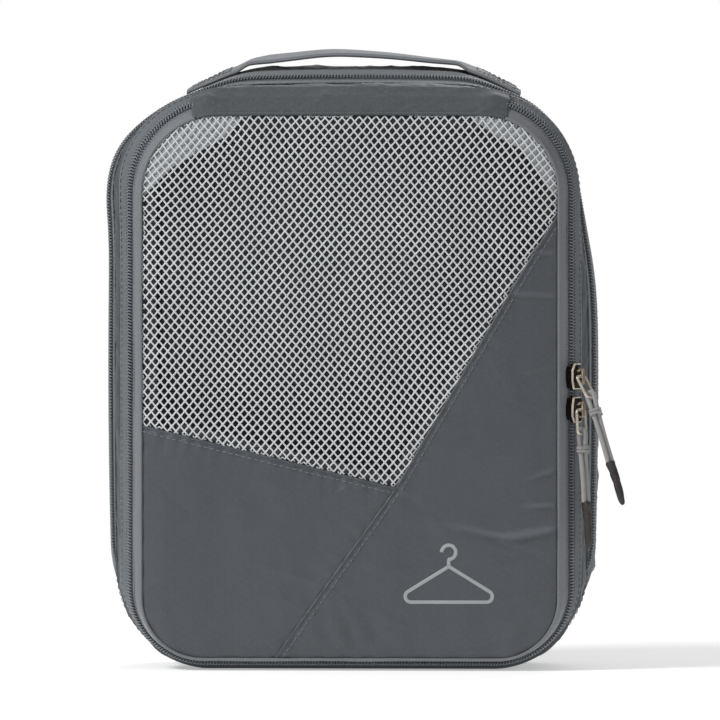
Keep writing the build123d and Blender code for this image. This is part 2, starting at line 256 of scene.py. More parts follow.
PANEL = srgb(64, 68, 73)
M = {
    "ripstop": cloth_material("ripstop", PANEL, 0.46, 0.16, dots=0.14, fold=0.34),
    "gusset": cloth_material("gusset_cloth", srgb(64, 69, 74), 0.46, 0.16, dots=0.12, fold=0.30),
    "strip": cloth_material("mid_strip", srgb(50, 57, 61), 0.55, 0.16, dots=0.1, fold=0.25),
    "hinge": cloth_material("hinge_cloth", srgb(63, 68, 72), 0.62, 0.2, dots=0.2, fold=0.30, speck=4.5),
    "lining": cloth_material("lining_coat", srgb(78, 83, 87), 0.5, 0.1, mottle=0.1),
    "facing": cloth_material("facing_cloth", srgb(150, 153, 156), 0.65, 0.1, mottle=0.06),
    "tape": cloth_material("zip_tape", srgb(103, 106, 111), 0.62, 0.3, weave=0.0006, mottle=0.05),
    "tape_dark": cloth_material("zip_tape_dark", srgb(86, 92, 97), 0.62, 0.25, weave=0.0006, mottle=0.05),
    "coil": plain_material("zip_coil", srgb(112, 117, 122), 0.40, scale=900, bump=0.05, vary=0.1),
    "net": ribbed_material("net_yarn", srgb(200, 203, 205), 0.0005, (0, 1, 0), 0.7, 0.00008, 0.1),
    "thread": ribbed_material("thread", srgb(106, 110, 115), 0.0004, (0, 1, 0), 0.65, 0.00006, 0.1),
    "thread_dark": ribbed_material("thread_dark", srgb(82, 87, 91), 0.0004, (0, 1, 0), 0.65, 0.00006, 0.1),
    "webbing": ribbed_material("webbing", srgb(120, 124, 129), 0.0011, (1, 0, 0), 0.75, 0.0003, 0.3),
    "cord": ribbed_material("cord_braid", srgb(142, 142, 141), 0.0009, (0.7, 0.7, 0), 0.7, 0.00018, 0.3),
    "binding": ribbed_material("binding_tape", srgb(58, 61, 65), 0.0009, (1, 0, 0), 0.75, 0.0002, 0.2),
    "print": plain_material("print_ink", srgb(152, 155, 158), 0.55, scale=1500, bump=0.1, vary=0.06),
    # the slider's edge and bail colours are painted highlights: lighter copies of the dark plating where the light
    # catches it
    "slider": plain_material(
        "slider_plating", srgb(48, 40, 36), 0.30, 0.85, 500, 0.2, 0.3
    ),
    "slider_bail_highlight": plain_material("slider_bail_highlight", srgb(152, 134, 114), 0.30, 0.55, 600, 0.15, 0.3),
    "slider_edge_highlight": plain_material("slider_painted_edge_highlight", srgb(198, 187, 170), 0.34, 0.35, 600, 0.15, 0.3),
    "wire": plain_material("wire_plating", srgb(204, 195, 181), 0.28, 0.55, 700, 0.1, 0.2),
    "tip": plain_material("cord_tip", srgb(46, 41, 39), 0.5, scale=300, bump=0.6, vary=0.35),
}


# ------------------------------------------------------------------ geometry helpers
def add_mesh(name, verts, faces, mats, uv=None, smooth=True):
    me = bpy.data.meshes.new(name)
    me.from_pydata([tuple(v) for v in verts], [], [tuple(map(int, f)) for f in faces])
    if uv is not None:
        layer = me.uv_layers.new(name="weave")
        loops = np.empty(len(me.loops), np.int32)
        me.loops.foreach_get("vertex_index", loops)
        layer.data.foreach_set("uv", np.asarray(uv, np.float32)[loops].ravel())
    me.update()
    if smooth:
        me.shade_smooth()
    for m in mats if isinstance(mats, (list, tuple)) else [mats]:
        me.materials.append(m)
    ob = bpy.data.objects.new(name, me)
    col.objects.link(ob)
    return ob


def apply_modifiers(ob):
    dg = bpy.context.evaluated_depsgraph_get()
    me = bpy.data.meshes.new_from_object(ob.evaluated_get(dg), preserve_all_data_layers=True, depsgraph=dg)
    ob.modifiers.clear()
    ob.data = me
    return ob


def thicken(ob, thickness, offset=-1.0, inner=None):
    m = ob.modifiers.new("thick", "SOLIDIFY")
    m.thickness = thickness
    m.offset = offset
    m.use_quality_normals = True
    if inner is not None:
        ob.data.materials.append(inner)
        m.material_offset = len(ob.data.materials) - 1
        m.material_offset_rim = 0
    return apply_modifiers(ob)


def grid_faces(nr, nc, closed):
    r = np.arange(nr - 1)[:, None]
    c = np.arange(nc if closed else nc - 1)[None, :]
    c2 = (c + 1) % nc
    f = np.stack([r * nc + c, r * nc + c2, (r + 1) * nc + c2, (r + 1) * nc + c], -1)
    return f.reshape(-1, 4)


SECTIONS = np.array([
    (-36.0, 88.4, 4.7, 235.4, 33.0, 26.0, 0.05, 0.5),
    (-22.0, 98.0, 2.5, 249.5, 46.0, 38.0, 0.05, 2.0),
    (-20.0, 98.7, 0.0, 250.0, 47.5, 39.0, 0.3, 2.2),
    (-13.0, 101.0, 0.0, 251.5, 52.0, 43.0, 1.5, 3.0),
    (-12.0, 101.3, 8.5, 251.9, 53.0, 44.0, 1.6, 3.1),
    (0.0, 104.2, 8.5, 255.2, 61.0, 51.0, 2.8, 3.9),
    (1.0, 104.5, 0.0, 255.5, 62.0, 52.0, 3.0, 4.0),
    (14.0, 105.0, 0.0, 256.5, 65.0, 54.0, 3.0, 4.5),
    (28.0, 101.0, 0.0, 253.0, 58.0, 48.0, 2.0, 3.5),
    (38.0, 90.0, 4.5, 237.0, 35.0, 28.0, 0.05, 0.5),
])


def at(y):
    return np.array([np.interp(y, SECTIONS[:, 0], SECTIONS[:, i]) for i in range(8)])


# stations round the outline: from the middle of the base, counterclockwise from the front
N_BASE, N_CORNER, N_SIDE, N_TCORNER, N_TOP = 44, 44, 110, 60, 52
N_RING = 2 * (N_BASE + N_CORNER + N_SIDE + N_TCORNER + N_TOP)


def outline(row, inset=0.0):
    """N_RING points (x, z) in mm of one section, set in by inset."""
    _, w, b, t, rt, rb, side, crown = row
    w, b, t = w - inset, b + inset, t - inset
    rt, rb = max(rt - inset, 1.0), max(rb - inset, 1.0)
    w0, t0 = w - side, t - crown
    f = lambda n: np.arange(n) / n
    a = f(N_BASE)
    base = np.stack([a * (w0 - rb), np.full(N_BASE, b)], 1)
    th = -math.pi / 2 + f(N_CORNER) * math.pi / 2
    cb = np.stack([w0 - rb + rb * np.cos(th), b + rb + rb * np.sin(th)], 1)
    s = f(N_SIDE)
    sd = np.stack([np.full(N_SIDE, w0), b + rb + s * (t0 - rt - b - rb)], 1)
    th = f(N_TCORNER) * math.pi / 2
    ct = np.stack([w0 - rt + rt * np.cos(th), t0 - rt + rt * np.sin(th)], 1)
    tp = np.stack([(1 - f(N_TOP)) * (w0 - rt), np.full(N_TOP, t0)], 1)
    half = np.concatenate([base, cb, sd, ct, tp])
    zm, hh = (b + t0) / 2, (t0 - b) / 2
    q = (half[:, 1] - zm) / hh
    half[:, 1] += crown * np.clip(1 - (half[:, 0] / w0) ** 2, 0, 1) * np.clip(q, 0, 1) ** 2
    half[:, 0] += side * (1 - q**2) * (half[:, 0] / w0) ** 2
    other = half[1:][::-1] * (-1, 1)
    top = np.array([[0.0, t0 + crown]])
    full = np.concatenate([half, top, other])
    return full[:N_RING] if len(full) >= N_RING else np.concatenate([full, full[-1:]])


def settle(p, y):
    """The set of the cloth: the top is drawn down where the chain runs over it, the upper left
    corner is stuffed fuller than the right one."""
    q = p.copy()
    x, z = p[:, 0], p[:, 1]
    sag = float(np.interp(y, [-36, -29, -22, -13, -6, 1, 5, 9], [0, -0.9, -2.1, -3.0, -2.8, -1.4, -0.4, 0]))
    high = np.clip((z - 205) / 40, 0, 1)
    q[:, 1] += sag * high * np.clip(1 - (np.abs(x) / 100) ** 4, 0, 1)
    back = float(np.interp(y, [-30, -20, -6, 14, 30, 38], [0, 0.35, 0.8, 1.0, 0.6, 0]))
    left = np.exp(-(((x + 96) / 20) ** 2) - ((z - 215) / 24) ** 2) * back
    q[:, 0] += -4.0 * left
    q[:, 1] += 2.6 * left
    q[:, 1] -= 1.6 * back * np.exp(-(((np.abs(x) - 62) / 15) ** 2) - ((z - 248) / 12) ** 2)
    lean = float(np.interp(y, [-32, -24.5, -22, -13, -6, 14, 30, 38], [0, 0.0, 0.18, 0.68, 0.85, 1.0, 0.7, 0.2]))
    q[:, 0] -= 6.2 * lean * np.exp(-(((z - 203) / 30) ** 2)) * np.clip((x - 50) / 30, 0, 1)
    return q


def ring_normals(p):
    """Outward unit normals in the section plane for a closed ring of points."""
    d = np.roll(p, -1, 0) - np.roll(p, 1, 0)
    d /= np.linalg.norm(d, axis=1)[:, None] + 1e-12
    return np.stack([d[:, 1], -d[:, 0]], 1)


def arc_length(p, closed=True):
    q = np.concatenate([p, p[:1]]) if closed else p
    s = np.concatenate([[0], np.cumsum(np.linalg.norm(np.diff(q, axis=0), axis=1))])
    return s


def fbm(x, y, z, scale, seed, octaves=4):
    """Smooth noise for arrays, in about -1..1; scale is the feature size in mm."""
    out = np.empty(np.size(x))
    xs, ys, zs = np.ravel(x) / scale, np.ravel(y) / scale, np.ravel(z) / scale
    off = (seed * 17.13, seed * 5.71, seed * 9.37)
    for i in range(len(out)):
        out[i] = noise.fractal((xs[i] + off[0], ys[i] + off[1], zs[i] + off[2]), 1.0, 2.0, octaves)
    return out.reshape(np.shape(x))


def creases(x, y, z, scale, seed, sharp=4.2):
    """Ridged noise: sharp folds on smooth cloth, 0..1."""
    out = np.empty(np.size(x))
    xs, ys, zs = np.ravel(x) / scale, np.ravel(y) / scale, np.ravel(z) / scale
    off = (seed * 13.7, seed * 3.3, seed * 7.9)
    for i in range(len(out)):
        n = noise.noise((xs[i] + off[0], ys[i] + off[1], zs[i] + off[2]))
        m = noise.noise((2.1 * xs[i] - off[1], 2.1 * ys[i] + off[0], 2.1 * zs[i] + off[2]))
        out[i] = (1 - min(abs(n) * sharp, 1)) ** 2 * 0.7 + (1 - min(abs(m) * sharp, 1)) ** 2 * 0.3
    return out.reshape(np.shape(x))


def band(name, ys, lift, mats, thickness=0.7, row_of=at, span=None, inner=None, wrinkle=None, keep_low=0.0):
    """A band of cloth round the body. ys: depths; lift: outward offset in mm at each depth,
    a number or a function of (v, stations); span: (x, above) keeps or cuts the top."""
    rings, lens = [], []
    for i, y in enumerate(ys):
        p = settle(outline(row_of(y)), y)
        nrm = ring_normals(p)
        v = i / (len(ys) - 1)
        off = lift(v, p) if callable(lift) else lift
        if wrinkle is not None:
            off = off + wrinkle(v, p, y)
        off = np.broadcast_to(off, (len(p),))
        q = p + nrm * off[:, None]
        q[:, 1] = np.maximum(q[:, 1], keep_low)
        rings.append(np.stack([q[:, 0], np.full(len(q), y), q[:, 1]], 1))
        lens.append(arc_length(p)[: len(p)])
    pts = np.stack(rings)  # nv, nt, 3
    across = np.concatenate([[0], np.cumsum(np.linalg.norm(np.diff(pts[:, 0], axis=0), axis=1))])
    uv = np.stack(
        [np.broadcast_to(lens[len(lens) // 2], pts.shape[:2]), np.broadcast_to(across[:, None], pts.shape[:2])], -1
    )
    nt = pts.shape[1]
    if span is None:
        # one more column closes the band, so that the weave has no jump at its join
        pts = np.concatenate([pts, pts[:, :1]], 1)
        end = np.stack([np.full(len(ys), arc_length(outline(row_of(ys[0])))[-1]), across], -1)[:, None]
        uv = np.concatenate([uv, end], 1)
        faces = grid_faces(len(ys), nt + 1, False)
        ob = add_mesh(name, pts.reshape(-1, 3) * MM, faces, mats, uv.reshape(-1, 2) * MM)
        bm = bmesh.new()
        bm.from_mesh(ob.data)
        bmesh.ops.remove_doubles(bm, verts=bm.verts, dist=1e-6)
        bm.to_mesh(ob.data)
        bm.free()
    else:
        mode, half = span
        top = (pts[0, :, 2] > 200) & (np.abs(pts[0, :, 0]) <= half)
        pick = top if mode == "top" else ~top
        idx = np.flatnonzero(pick)
        # stations run from the base's middle: the sides' part wraps round the end
        if mode != "top":
            brk = np.flatnonzero(np.diff(idx) > 1)[0] + 1
            idx = np.concatenate([idx[brk:], idx[:brk]])
        pts, uv = pts[:, idx], uv[:, idx].copy()
        if mode != "top":
            jump = np.flatnonzero(np.diff(uv[0, :, 0]) < 0)
            if len(jump):
                uv[:, jump[0] + 1 :, 0] += arc_length(outline(row_of(ys[0])))[-1]
        faces = grid_faces(len(ys), pts.shape[1], False)
        ob = add_mesh(name, pts.reshape(-1, 3) * MM, faces, mats, uv.reshape(-1, 2) * MM)
    fix_outward(ob)
    if thickness:
        thicken(ob, thickness * MM, -1.0, inner)
    return ob


def fix_outward(ob):
    """Face normals away from the body's middle."""
    me = ob.data
    c = np.array([0, 0.0, 0.128])
    tot = 0.0
    for i in range(0, len(me.polygons), max(1, len(me.polygons) // 400)):
        p = me.polygons[i]
        tot += (np.array(p.center) - c).dot(np.array(p.normal)) * p.area
    if tot < 0:
        me.flip_normals()


def tube(paths, radius, sides=6, normals=None, flat=1.0, caps=True):
    """Tubes along many paths as one vertex and face list. Each path is an n x 3 array in
    mm, normals its up directions; flat squeezes the tube along them. radius may be an array."""
    V, F, UV = [], [], []
    base = 0
    ang = np.arange(sides) * 2 * math.pi / sides
    ca, sa = np.cos(ang), np.sin(ang)
    for k, p in enumerate(paths):
        n = len(p)
        t = np.gradient(p, axis=0)
        t /= np.linalg.norm(t, axis=1)[:, None] + 1e-12
        up = normals[k] if normals is not None else np.broadcast_to((0.0, -1.0, 0.0), (n, 3))
        up = up - (up * t).sum(1)[:, None] * t
        up /= np.linalg.norm(up, axis=1)[:, None] + 1e-12
        side = np.cross(t, up)
        r = np.broadcast_to(radius[k] if isinstance(radius, list) else radius, (n,))
        ring = p[:, None] + r[:, None, None] * (side[:, None] * ca[None, :, None] + flat * up[:, None] * sa[None, :, None])
        V.append(ring.reshape(-1, 3))
        s = np.concatenate([[0], np.cumsum(np.linalg.norm(np.diff(p, axis=0), axis=1))])
        UV.append(np.stack([np.broadcast_to(ang * r.mean(), (n, sides)), np.broadcast_to(s[:, None], (n, sides))], -1).reshape(-1, 2))
        F.extend((grid_faces(n, sides, True) + base).tolist())
        if caps:
            F.append((base + np.arange(sides)[::-1]).tolist())
            F.append((base + (n - 1) * sides + np.arange(sides)).tolist())
        base += n * sides
    return np.concatenate(V), F, np.concatenate(UV)


def tube_object(name, paths, radius, mat, sides=6, normals=None, flat=1.0, caps=True):
    v, f, uv = tube(paths, radius, sides, normals, flat, caps)
    return add_mesh(name, v * MM, f, mat, uv * MM)


def stitches(name, line, normals, long, gap, mat, radius=0.24, lift=0.12, lean=0.0):
    """Separate stitches along a line of points, each pulled down at both ends."""
    s = arc_length(line, False)
    n = int(s[-1] / (long + gap))
    paths, ups = [], []
    for i in range(n):
        a = i * (long + gap) + gap / 2
        ss = np.array([0, 0.16, 0.5, 0.84, 1.0]) * long + a
        p = np.stack([np.interp(ss, s, line[:, j]) for j in range(3)], 1)
        m = np.stack([np.interp(ss, s, normals[:, j]) for j in range(3)], 1)
        m /= np.linalg.norm(m, axis=1)[:, None]
        rise = np.array([-0.30, 0.02, lift, 0.02, -0.30])
        if lean:
            t = p[-1] - p[0]
            t /= np.linalg.norm(t)
            sd = np.cross(t, m[2])
            p = p + sd[None] * (np.linspace(-0.5, 0.5, 5) * lean)[:, None]
        paths.append(p + m * rise[:, None])
        ups.append(m)
    r = [np.array([0.5, 0.9, 1.0, 0.9, 0.5]) * radius] * len(paths)
    return tube_object(name, paths, r, mat, 5, ups, 0.8)


def join(name, *obs):
    """One object from several meshes that share a place."""
    with bpy.context.temp_override(active_object=obs[0], selected_editable_objects=list(obs), selected_objects=list(obs)):
        bpy.ops.object.join()
    obs[0].name = name
    return obs[0]


# ------------------------------------------------------------------ front panels
FRONT = at(-36.0)
CX, CZ = 0.0, (FRONT[2] + FRONT[3]) / 2
HX, HZ = FRONT[1], (FRONT[3] - FRONT[2]) / 2
SEAM_L = np.array((-120.0, 111.5))
MEET = np.array((19.6, 77.6))
KINK = np.array((71.8, 167.2))
SEAM_R = np.array((120.0, 245.6))
FOOT = np.array((-38.7, -4.0))


def inside(x, z):
    """Distance in from the front seam, in mm, negative outside it."""
    r = np.where(z > CZ, 33.0, 26.0)
    qx = np.abs(x - CX) - (HX - r)
    qz = np.abs(z - CZ) - (HZ - r)
    return -(np.hypot(np.maximum(qx, 0), np.maximum(qz, 0)) + np.minimum(np.maximum(qx, qz), 0) - r)


def seg_dist(x, z, a, b):
    d = b - a
    l = np.hypot(*d)
    u = ((x - a[0]) * d[0] + (z - a[1]) * d[1]) / l
    side = ((x - a[0]) * -d[1] + (z - a[1]) * d[0]) / l  # positive on the left of a to b
    off = np.hypot(side, np.maximum(np.maximum(-u, u - l), 0))
    return off, side, u


def dome(x, z, cloth=True, mesh=False):
    """y of the front skin at x, z, in mm."""
    d = np.maximum(inside(x, z), 0)
    y = 5.3 * (1 - np.exp(-d / 12.0)) - 0.5 * np.exp(-((d / 1.3) ** 2))
    y = y + 0.55 * np.sin(x / 46.0 + 0.6) * np.sin(z / 61.0) * np.minimum(d / 30, 1)
    da, sa, ua = seg_dist(x, z, SEAM_L, MEET)
    db, sb, ub = seg_dist(x, z, FOOT, MEET)
    dc, sc, uc = seg_dist(x, z, MEET, KINK)
    de, se, ue = seg_dist(x, z, KINK, SEAM_R)
    dc, uc = np.minimum(dc, de), np.where(de < dc, ue + 103.7, uc)
    near = np.minimum(np.minimum(da, db), dc)
    y = y - 0.28 * np.exp(-((near / 1.4) ** 2))
    if cloth:
        # puckers that run away from each seam, and slack folds between
        fade = lambda q, l: np.exp(-q / l) * np.minimum(q / 1.5, 1)
        y = y + 0.55 * np.sin(ua / 1.15 + 1.9 * np.sin(ua / 9.0)) * fade(da, 4.2) * (sa < 0)
        y = y + 0.36 * np.sin(ub / 1.35 + 1.6 * np.sin(ub / 11.0)) * fade(db, 4.5)
        y = y + 0.40 * np.sin(uc / 1.3 + 1.7 * np.sin(uc / 13.0)) * fade(dc, 4.0) * (sc < 0)
        y = y + 0.30 * np.sin(z / 1.9 + 2.1 * np.sin(z / 17.0)) * np.exp(-d / 5.0) * np.minimum(d / 1.5, 1) * (np.abs(x) > 70)
        y = y + 0.30 * np.sin(x / 2.0 + 2.3 * np.sin(x / 19.0)) * np.exp(-d / 5.0) * np.minimum(d / 1.5, 1) * (z < 30)
    return -36.0 - y


def crumple(x, z, seed, n, box, heading, spread, amp):
    """Short shallow folds, each with its own direction, length and bow, in mm."""
    rng = np.random.default_rng(seed)
    out = np.zeros(np.shape(x))
    for _ in range(n):
        cx, cz = rng.uniform(box[0], box[2]), rng.uniform(box[1], box[3])
        a, l, w = rng.normal(heading, spread), rng.uniform(14, 48), rng.uniform(0.9, 2.6)
        bow, h = rng.uniform(-0.012, 0.012), amp * rng.uniform(0.35, 1.0) * rng.choice((1.0, -0.7))
        u = (x - cx) * math.cos(a) + (z - cz) * math.sin(a)
        v = (z - cz) * math.cos(a) - (x - cx) * math.sin(a) - bow * u * u
        out += h * (np.exp(-((v / w) ** 2)) - 0.4 * np.exp(-(((v + 1.8 * w) / (1.8 * w)) ** 2))) * np.clip(1 - (2 * u / l) ** 2, 0, 1)
    return out


def crease_highlight_mask(x, z):
    """The sharp creases that run in from the right edge, 0 to 1: the mask of the painted highlight on their ridges."""
    right = lambda x0, w: np.clip((x - x0) / w, 0, 1) * np.clip((88.2 - x) / 4, 0, 1)
    ridge = lambda q, w: np.exp(-((q / w) ** 2))
    a = ridge(z - (57.4 + 0.24 * (np.sqrt((x - 67) ** 2 + 16) - 4)), 1.5) * right(38, 22)
    b = ridge(z - (70.4 + 0.06 * (x - 78)), 0.9) * right(72, 7) * 0.8
    j = ridge(z - (83.4 + 0.36 * (x - 80)), 1.0) * right(73, 8) * 0.6
    e = ridge(z - (159.6 - 0.06 * (x - 75)), 0.9) * right(60, 12) * 0.6
    g = ridge(z - (177.8 - 0.10 * (x - 75)), 0.9) * right(73, 6) * 0.6
    return a + b + j + e + g


def cloth_folds(x, z):
    """Slack folds and creases of the lower panels, in mm, outwards."""
    d = np.minimum(np.maximum(inside(x, z), 0) / 9, 1)
    soft = fbm(x, z * 0.7, 0 * x, 34.0, 3, 3) * 0.85
    fold = crumple(x, z, 5, 20, (-10, 12, 84, 110), 0.12, 0.35, 0.55)
    fold = fold + crumple(x, z, 6, 16, (-84, 12, 20, 100), -0.42, 0.4, 0.5)
    fine = fbm(x, z, 0 * x, 9.0, 8, 4) * 0.10
    # the creases that run in from the right edge
    right = lambda x0, w: np.clip((x - x0) / w, 0, 1) * np.clip((88.2 - x) / 4, 0, 1)
    ridge = lambda q, w: np.exp(-((q / w) ** 2)) - 0.35 * np.exp(-(((q + 1.6 * w) / (1.6 * w)) ** 2))
    a = ridge(z - (57.4 + 0.24 * (np.sqrt((x - 67) ** 2 + 16) - 4)), 1.3) * right(34, 24)
    b = ridge(z - (70.4 + 0.06 * (x - 78)), 0.95) * right(70, 8)
    c = np.exp(-(((x - 72 - 0.5 * (z - 20)) / 3.0) ** 2)) * np.clip((40 - z) / 25, 0, 1)
    e = ridge(z - (159.6 - 0.06 * (x - 75)), 0.9) * right(58, 10)
    g = ridge(z - (177.8 - 0.10 * (x - 75)), 0.95) * right(72, 6)
    j = ridge(z - (83.4 + 0.36 * (x - 80)), 1.1) * right(71, 8)
    k = ridge(z - (128.0 + 0.20 * (x - 80)), 1.2) * right(70, 9)
    # short slanting tucks above the base seam
    h = np.sin((x + 0.55 * z) / 2.1 + 1.5 * np.sin(x / 8.0)) * np.exp(-((z - 14) / 9.0) ** 2) * np.exp(-((x + 2) / 26.0) ** 2)
    return (soft * 1.5 + fold + fine * 2.0) * d + 1.35 * a + 1.0 * b + 0.9 * c * d + 0.85 * e + 0.85 * g + 0.85 * j + 0.5 * k + 0.6 * h * d


def panel_mesh(step=0.85):
    xs = np.arange(-HX - 1, HX + 1 + step, step)
    zs = np.arange(FRONT[2] - 1, FRONT[3] + 1 + step, step)
    X, Z = np.meshgrid(xs, zs)
    nz, nx = X.shape
    x, z = X.ravel().copy(), Z.ravel().copy()
    d = inside(x, z)
    faces = grid_faces(nz, nx, False)
    keep = (d[faces] > 0).any(1)
    faces = faces[keep]
    # the rim: pull outside points onto the seam line, along the distance's slope
    for _ in range(3):
        e = 0.05
        gx = (inside(x + e, z) - inside(x - e, z)) / (2 * e)
        gz = (inside(x, z + e) - inside(x, z - e)) / (2 * e)
        d = inside(x, z)
        out = d < 0
        x[out] -= (d * gx)[out]
        z[out] -= (d * gz)[out]
    used = np.unique(faces)
    remap = np.full(len(x), -1)
    remap[used] = np.arange(len(used))
    x, z, faces = x[used], z[used], remap[faces]
    bm = bmesh.new()
    vs = [bm.verts.new((a, 0, b)) for a, b in zip(x, z)]
    for f in faces:
        bm.faces.new([vs[i] for i in f])
    bmesh.ops.dissolve_degenerate(bm, dist=0.02, edges=bm.edges)
    for a, b in ((SEAM_L, MEET), (FOOT, MEET), (MEET, KINK), (KINK, SEAM_R)):
        d = b - a
        bmesh.ops.bisect_plane(
            bm, geom=bm.verts[:] + bm.edges[:] + bm.faces[:], dist=0.02,
            plane_co=(a[0], 0, a[1]), plane_no=(-d[1], 0, d[0]),
        )
    bmesh.ops.triangulate(bm, faces=[f for f in bm.faces if len(f.verts) > 4])
    return bm


def region_of(x, z):
    """0 mesh window, 1 lower left, 2 lower right."""
    left = lambda a, b: (b[0] - a[0]) * (z - a[1]) - (b[1] - a[1]) * (x - a[0]) > 0
    if z <= MEET[1] or not left(SEAM_L, MEET):
        right_side = not left(FOOT, MEET) if z <= MEET[1] else not (left(MEET, KINK) if z < KINK[1] else left(KINK, SEAM_R))
    else:
        right_side = not (left(MEET, KINK) if z < KINK[1] else left(KINK, SEAM_R))
    if right_side:
        return 2
    return 0 if left(SEAM_L, MEET) else 1


bm = panel_mesh()
bm.verts.ensure_lookup_table()
co = np.array([v.co for v in bm.verts])
skin = dome(co[:, 0], co[:, 2]) - cloth_folds(co[:, 0], co[:, 2])
for v, y in zip(bm.verts, skin):
    v.co.y = y
which = {f: region_of(f.calc_center_median().x, f.calc_center_median().z) for f in bm.faces}
for k, name in ((1, "lower_left_cloth"), (2, "lower_right_cloth")):
    fs = [f for f in bm.faces if which[f] == k]
    ids = {}
    V, F = [], []
    for f in fs:
        F.append([ids.setdefault(v.index, len(ids)) for v in f.verts])
    inv = sorted(ids, key=ids.get)
    V = np.array([bm.verts[i].co for i in inv])
    ob = add_mesh(name, V * MM, F, M["ripstop"], V[:, [0, 2]] * MM)
    if sum(p.normal.y for p in ob.data.polygons) > 0:
        ob.data.flip_normals()
    # the crease attribute: a painted highlight along the ridges of the hard creases, on the lower right panel only
    crease_highlight = ob.data.attributes.new("crease", "FLOAT", "POINT")
    crease_highlight.data.foreach_set("value", np.clip(crease_highlight_mask(V[:, 0], V[:, 2]), 0, 1).astype(np.float32) * (k == 2))
    thicken(ob, 0.7 * MM, -1.0, M["lining"])
    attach(ob, "front_flap")
bm.free()
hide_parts("lower_left_panel")
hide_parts("lower_right_panel")


# ------------------------------------------------------------------ mesh window
PX, PZ = 3.55, 4.16


def window_side(x, z, margin=0.0):
    """True where the net shows: inside the seam line and above both lower seams."""
    _, sa, _ = seg_dist(x, z, SEAM_L, MEET)
    _, sc, _ = seg_dist(x, z, MEET, KINK)
    _, se, _ = seg_dist(x, z, KINK, SEAM_R)
    right = np.where(z < KINK[1], sc, se)
    return np.minimum(np.minimum(sa, right), inside(x, z) - 0.55) > margin


def net_warp(x, z):
    """How the net is pulled out of square by its seams."""
    dx = 1.1 * np.sin(z / 37.0 + 0.4) + 0.5 * np.sin(z / 13.0 + x / 29.0)
    dz = 1.2 * np.sin(x / 41.0 + 1.1) + 0.45 * np.sin(x / 15.0 + z / 23.0)
    d = np.maximum(inside(x, z), 0)
    pull = 1.6 * np.exp(-d / 16.0)
    dz = dz + pull * np.sin(x / 7.5) * 0.35
    dx = dx + pull * np.sin(z / 8.5) * 0.35
    return x + dx, z + dz


strands, ups, radii = [], [], []
for sign in (1, -1):
    for k in range(-70, 71):
        s = np.arange(-60, 60.01, 0.5)
        x = k * PX + sign * s * PX / 2 + (0 if sign > 0 else PX * 0)
        z = 150 + s * PZ / 2
        wx, wz = net_warp(x, z)
        ok = window_side(wx, wz, -0.25)
        if ok.sum() < 3:
            continue
        runs = np.split(np.arange(len(s)), np.flatnonzero(np.diff(ok.astype(int)) != 0) + 1)
        for run in runs:
            if not ok[run[0]] or len(run) < 3:
                continue
            px, pz = wx[run], wz[run]
            at_knot = np.abs(s[run] - np.round(s[run])) < 0.1
            odd = (np.round(s[run]).astype(int) + k) % 2 == 0
            over = np.where(at_knot, np.where(odd, 0.10, -0.10) * sign, 0.0)
            py = dome(px, pz, cloth=False) + 0.35 - over
            strands.append(np.stack([px, py, pz], 1))
            ups.append(np.broadcast_to((0.0, -1.0, 0.0), (len(run), 3)))
            radii.append(np.where(at_knot, 0.43, 0.33))
net = tube_object("mesh_window_net", strands, radii, M["net"], 6, ups, 0.72)
strands2, ups2, radii2 = [], [], []
for sign in (1, -1):
    for k in range(-70, 71):
        s = np.arange(-60, 60.01, 0.5)
        wx, wz = net_warp((k + 0.5) * PX + sign * s * PX / 2, 150 + s * PZ / 2)
        ok = window_side(wx, wz, -0.1) & ~window_side(wx, wz, 1.5)
        if ok.sum() < 2:
            continue
        for run in np.split(np.arange(len(s)), np.flatnonzero(np.diff(ok.astype(int)) != 0) + 1):
            if not ok[run[0]] or len(run) < 2:
                continue
            px, pz = wx[run], wz[run]
            strands2.append(np.stack([px, dome(px, pz, cloth=False) + 0.75, pz], 1))
            ups2.append(np.broadcast_to((0.0, -1.0, 0.0), (len(run), 3)))
            radii2.append(np.full(len(run), 0.33))
hem = tube_object("mesh_window_hem", strands2, radii2, M["net"], 5, ups2, 0.75)
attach(hem, "front_flap")
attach(net, "front_flap")
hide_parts("mesh_window")


# the light facings that back the net in its two top corners
def facing(name, line):
    """A thin cloth behind the net, above a line of (x, z) corners."""
    xs = np.arange(min(p[0] for p in line), max(p[0] for p in line) + 1.0, 1.0)
    lo = np.interp(xs, *zip(*sorted(line)))
    V, F = [], []
    n = 28
    for x, z0 in zip(xs, lo):
        zs = np.linspace(z0, 240, 200)
        zin = zs[inside(np.full(200, x), zs) > 0.15]
        z1 = zin.max() if len(zin) else z0
        z1 = max(z1, z0 + 0.05)
        col_z = np.linspace(z0, z1, n)
        col_x = np.full(n, x)
        y = dome(col_x, col_z, cloth=False) + 1.15 + 0.16 * np.sin(col_x / 2.2 + col_z / 5.0) + 0.08 * np.sin(col_z / 1.7)
        V.append(np.stack([col_x, y, col_z], 1))
    V = np.concatenate(V)
    F = grid_faces(len(xs), n, False)
    ob = add_mesh(name, V * MM, F, M["facing"], V[:, [0, 2]] * MM)
    if sum(p.normal.y for p in ob.data.polygons) > 0:
        ob.data.flip_normals()
    thicken(ob, 0.35 * MM, -1.0)
    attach(ob, "front_flap")


facing("corner_facing_left", [(-87.5, 200.0), (-74.7, 212.7), (-52.4, 225.6), (-45.0, 234.6)])
facing("corner_facing_right", [(50.5, 234.6), (60.0, 226.8), (73.0, 220.0), (82.0, 206.0), (87.5, 199.0)])


# ------------------------------------------------------------------ seams of the front
def on_front(p, out=0.0, folds=True):
    x, z = p[:, 0], p[:, 1]
    y = dome(x, z)
    if folds:
        y = y - cloth_folds(x, z)
    return np.stack([x, y - out, z], 1)


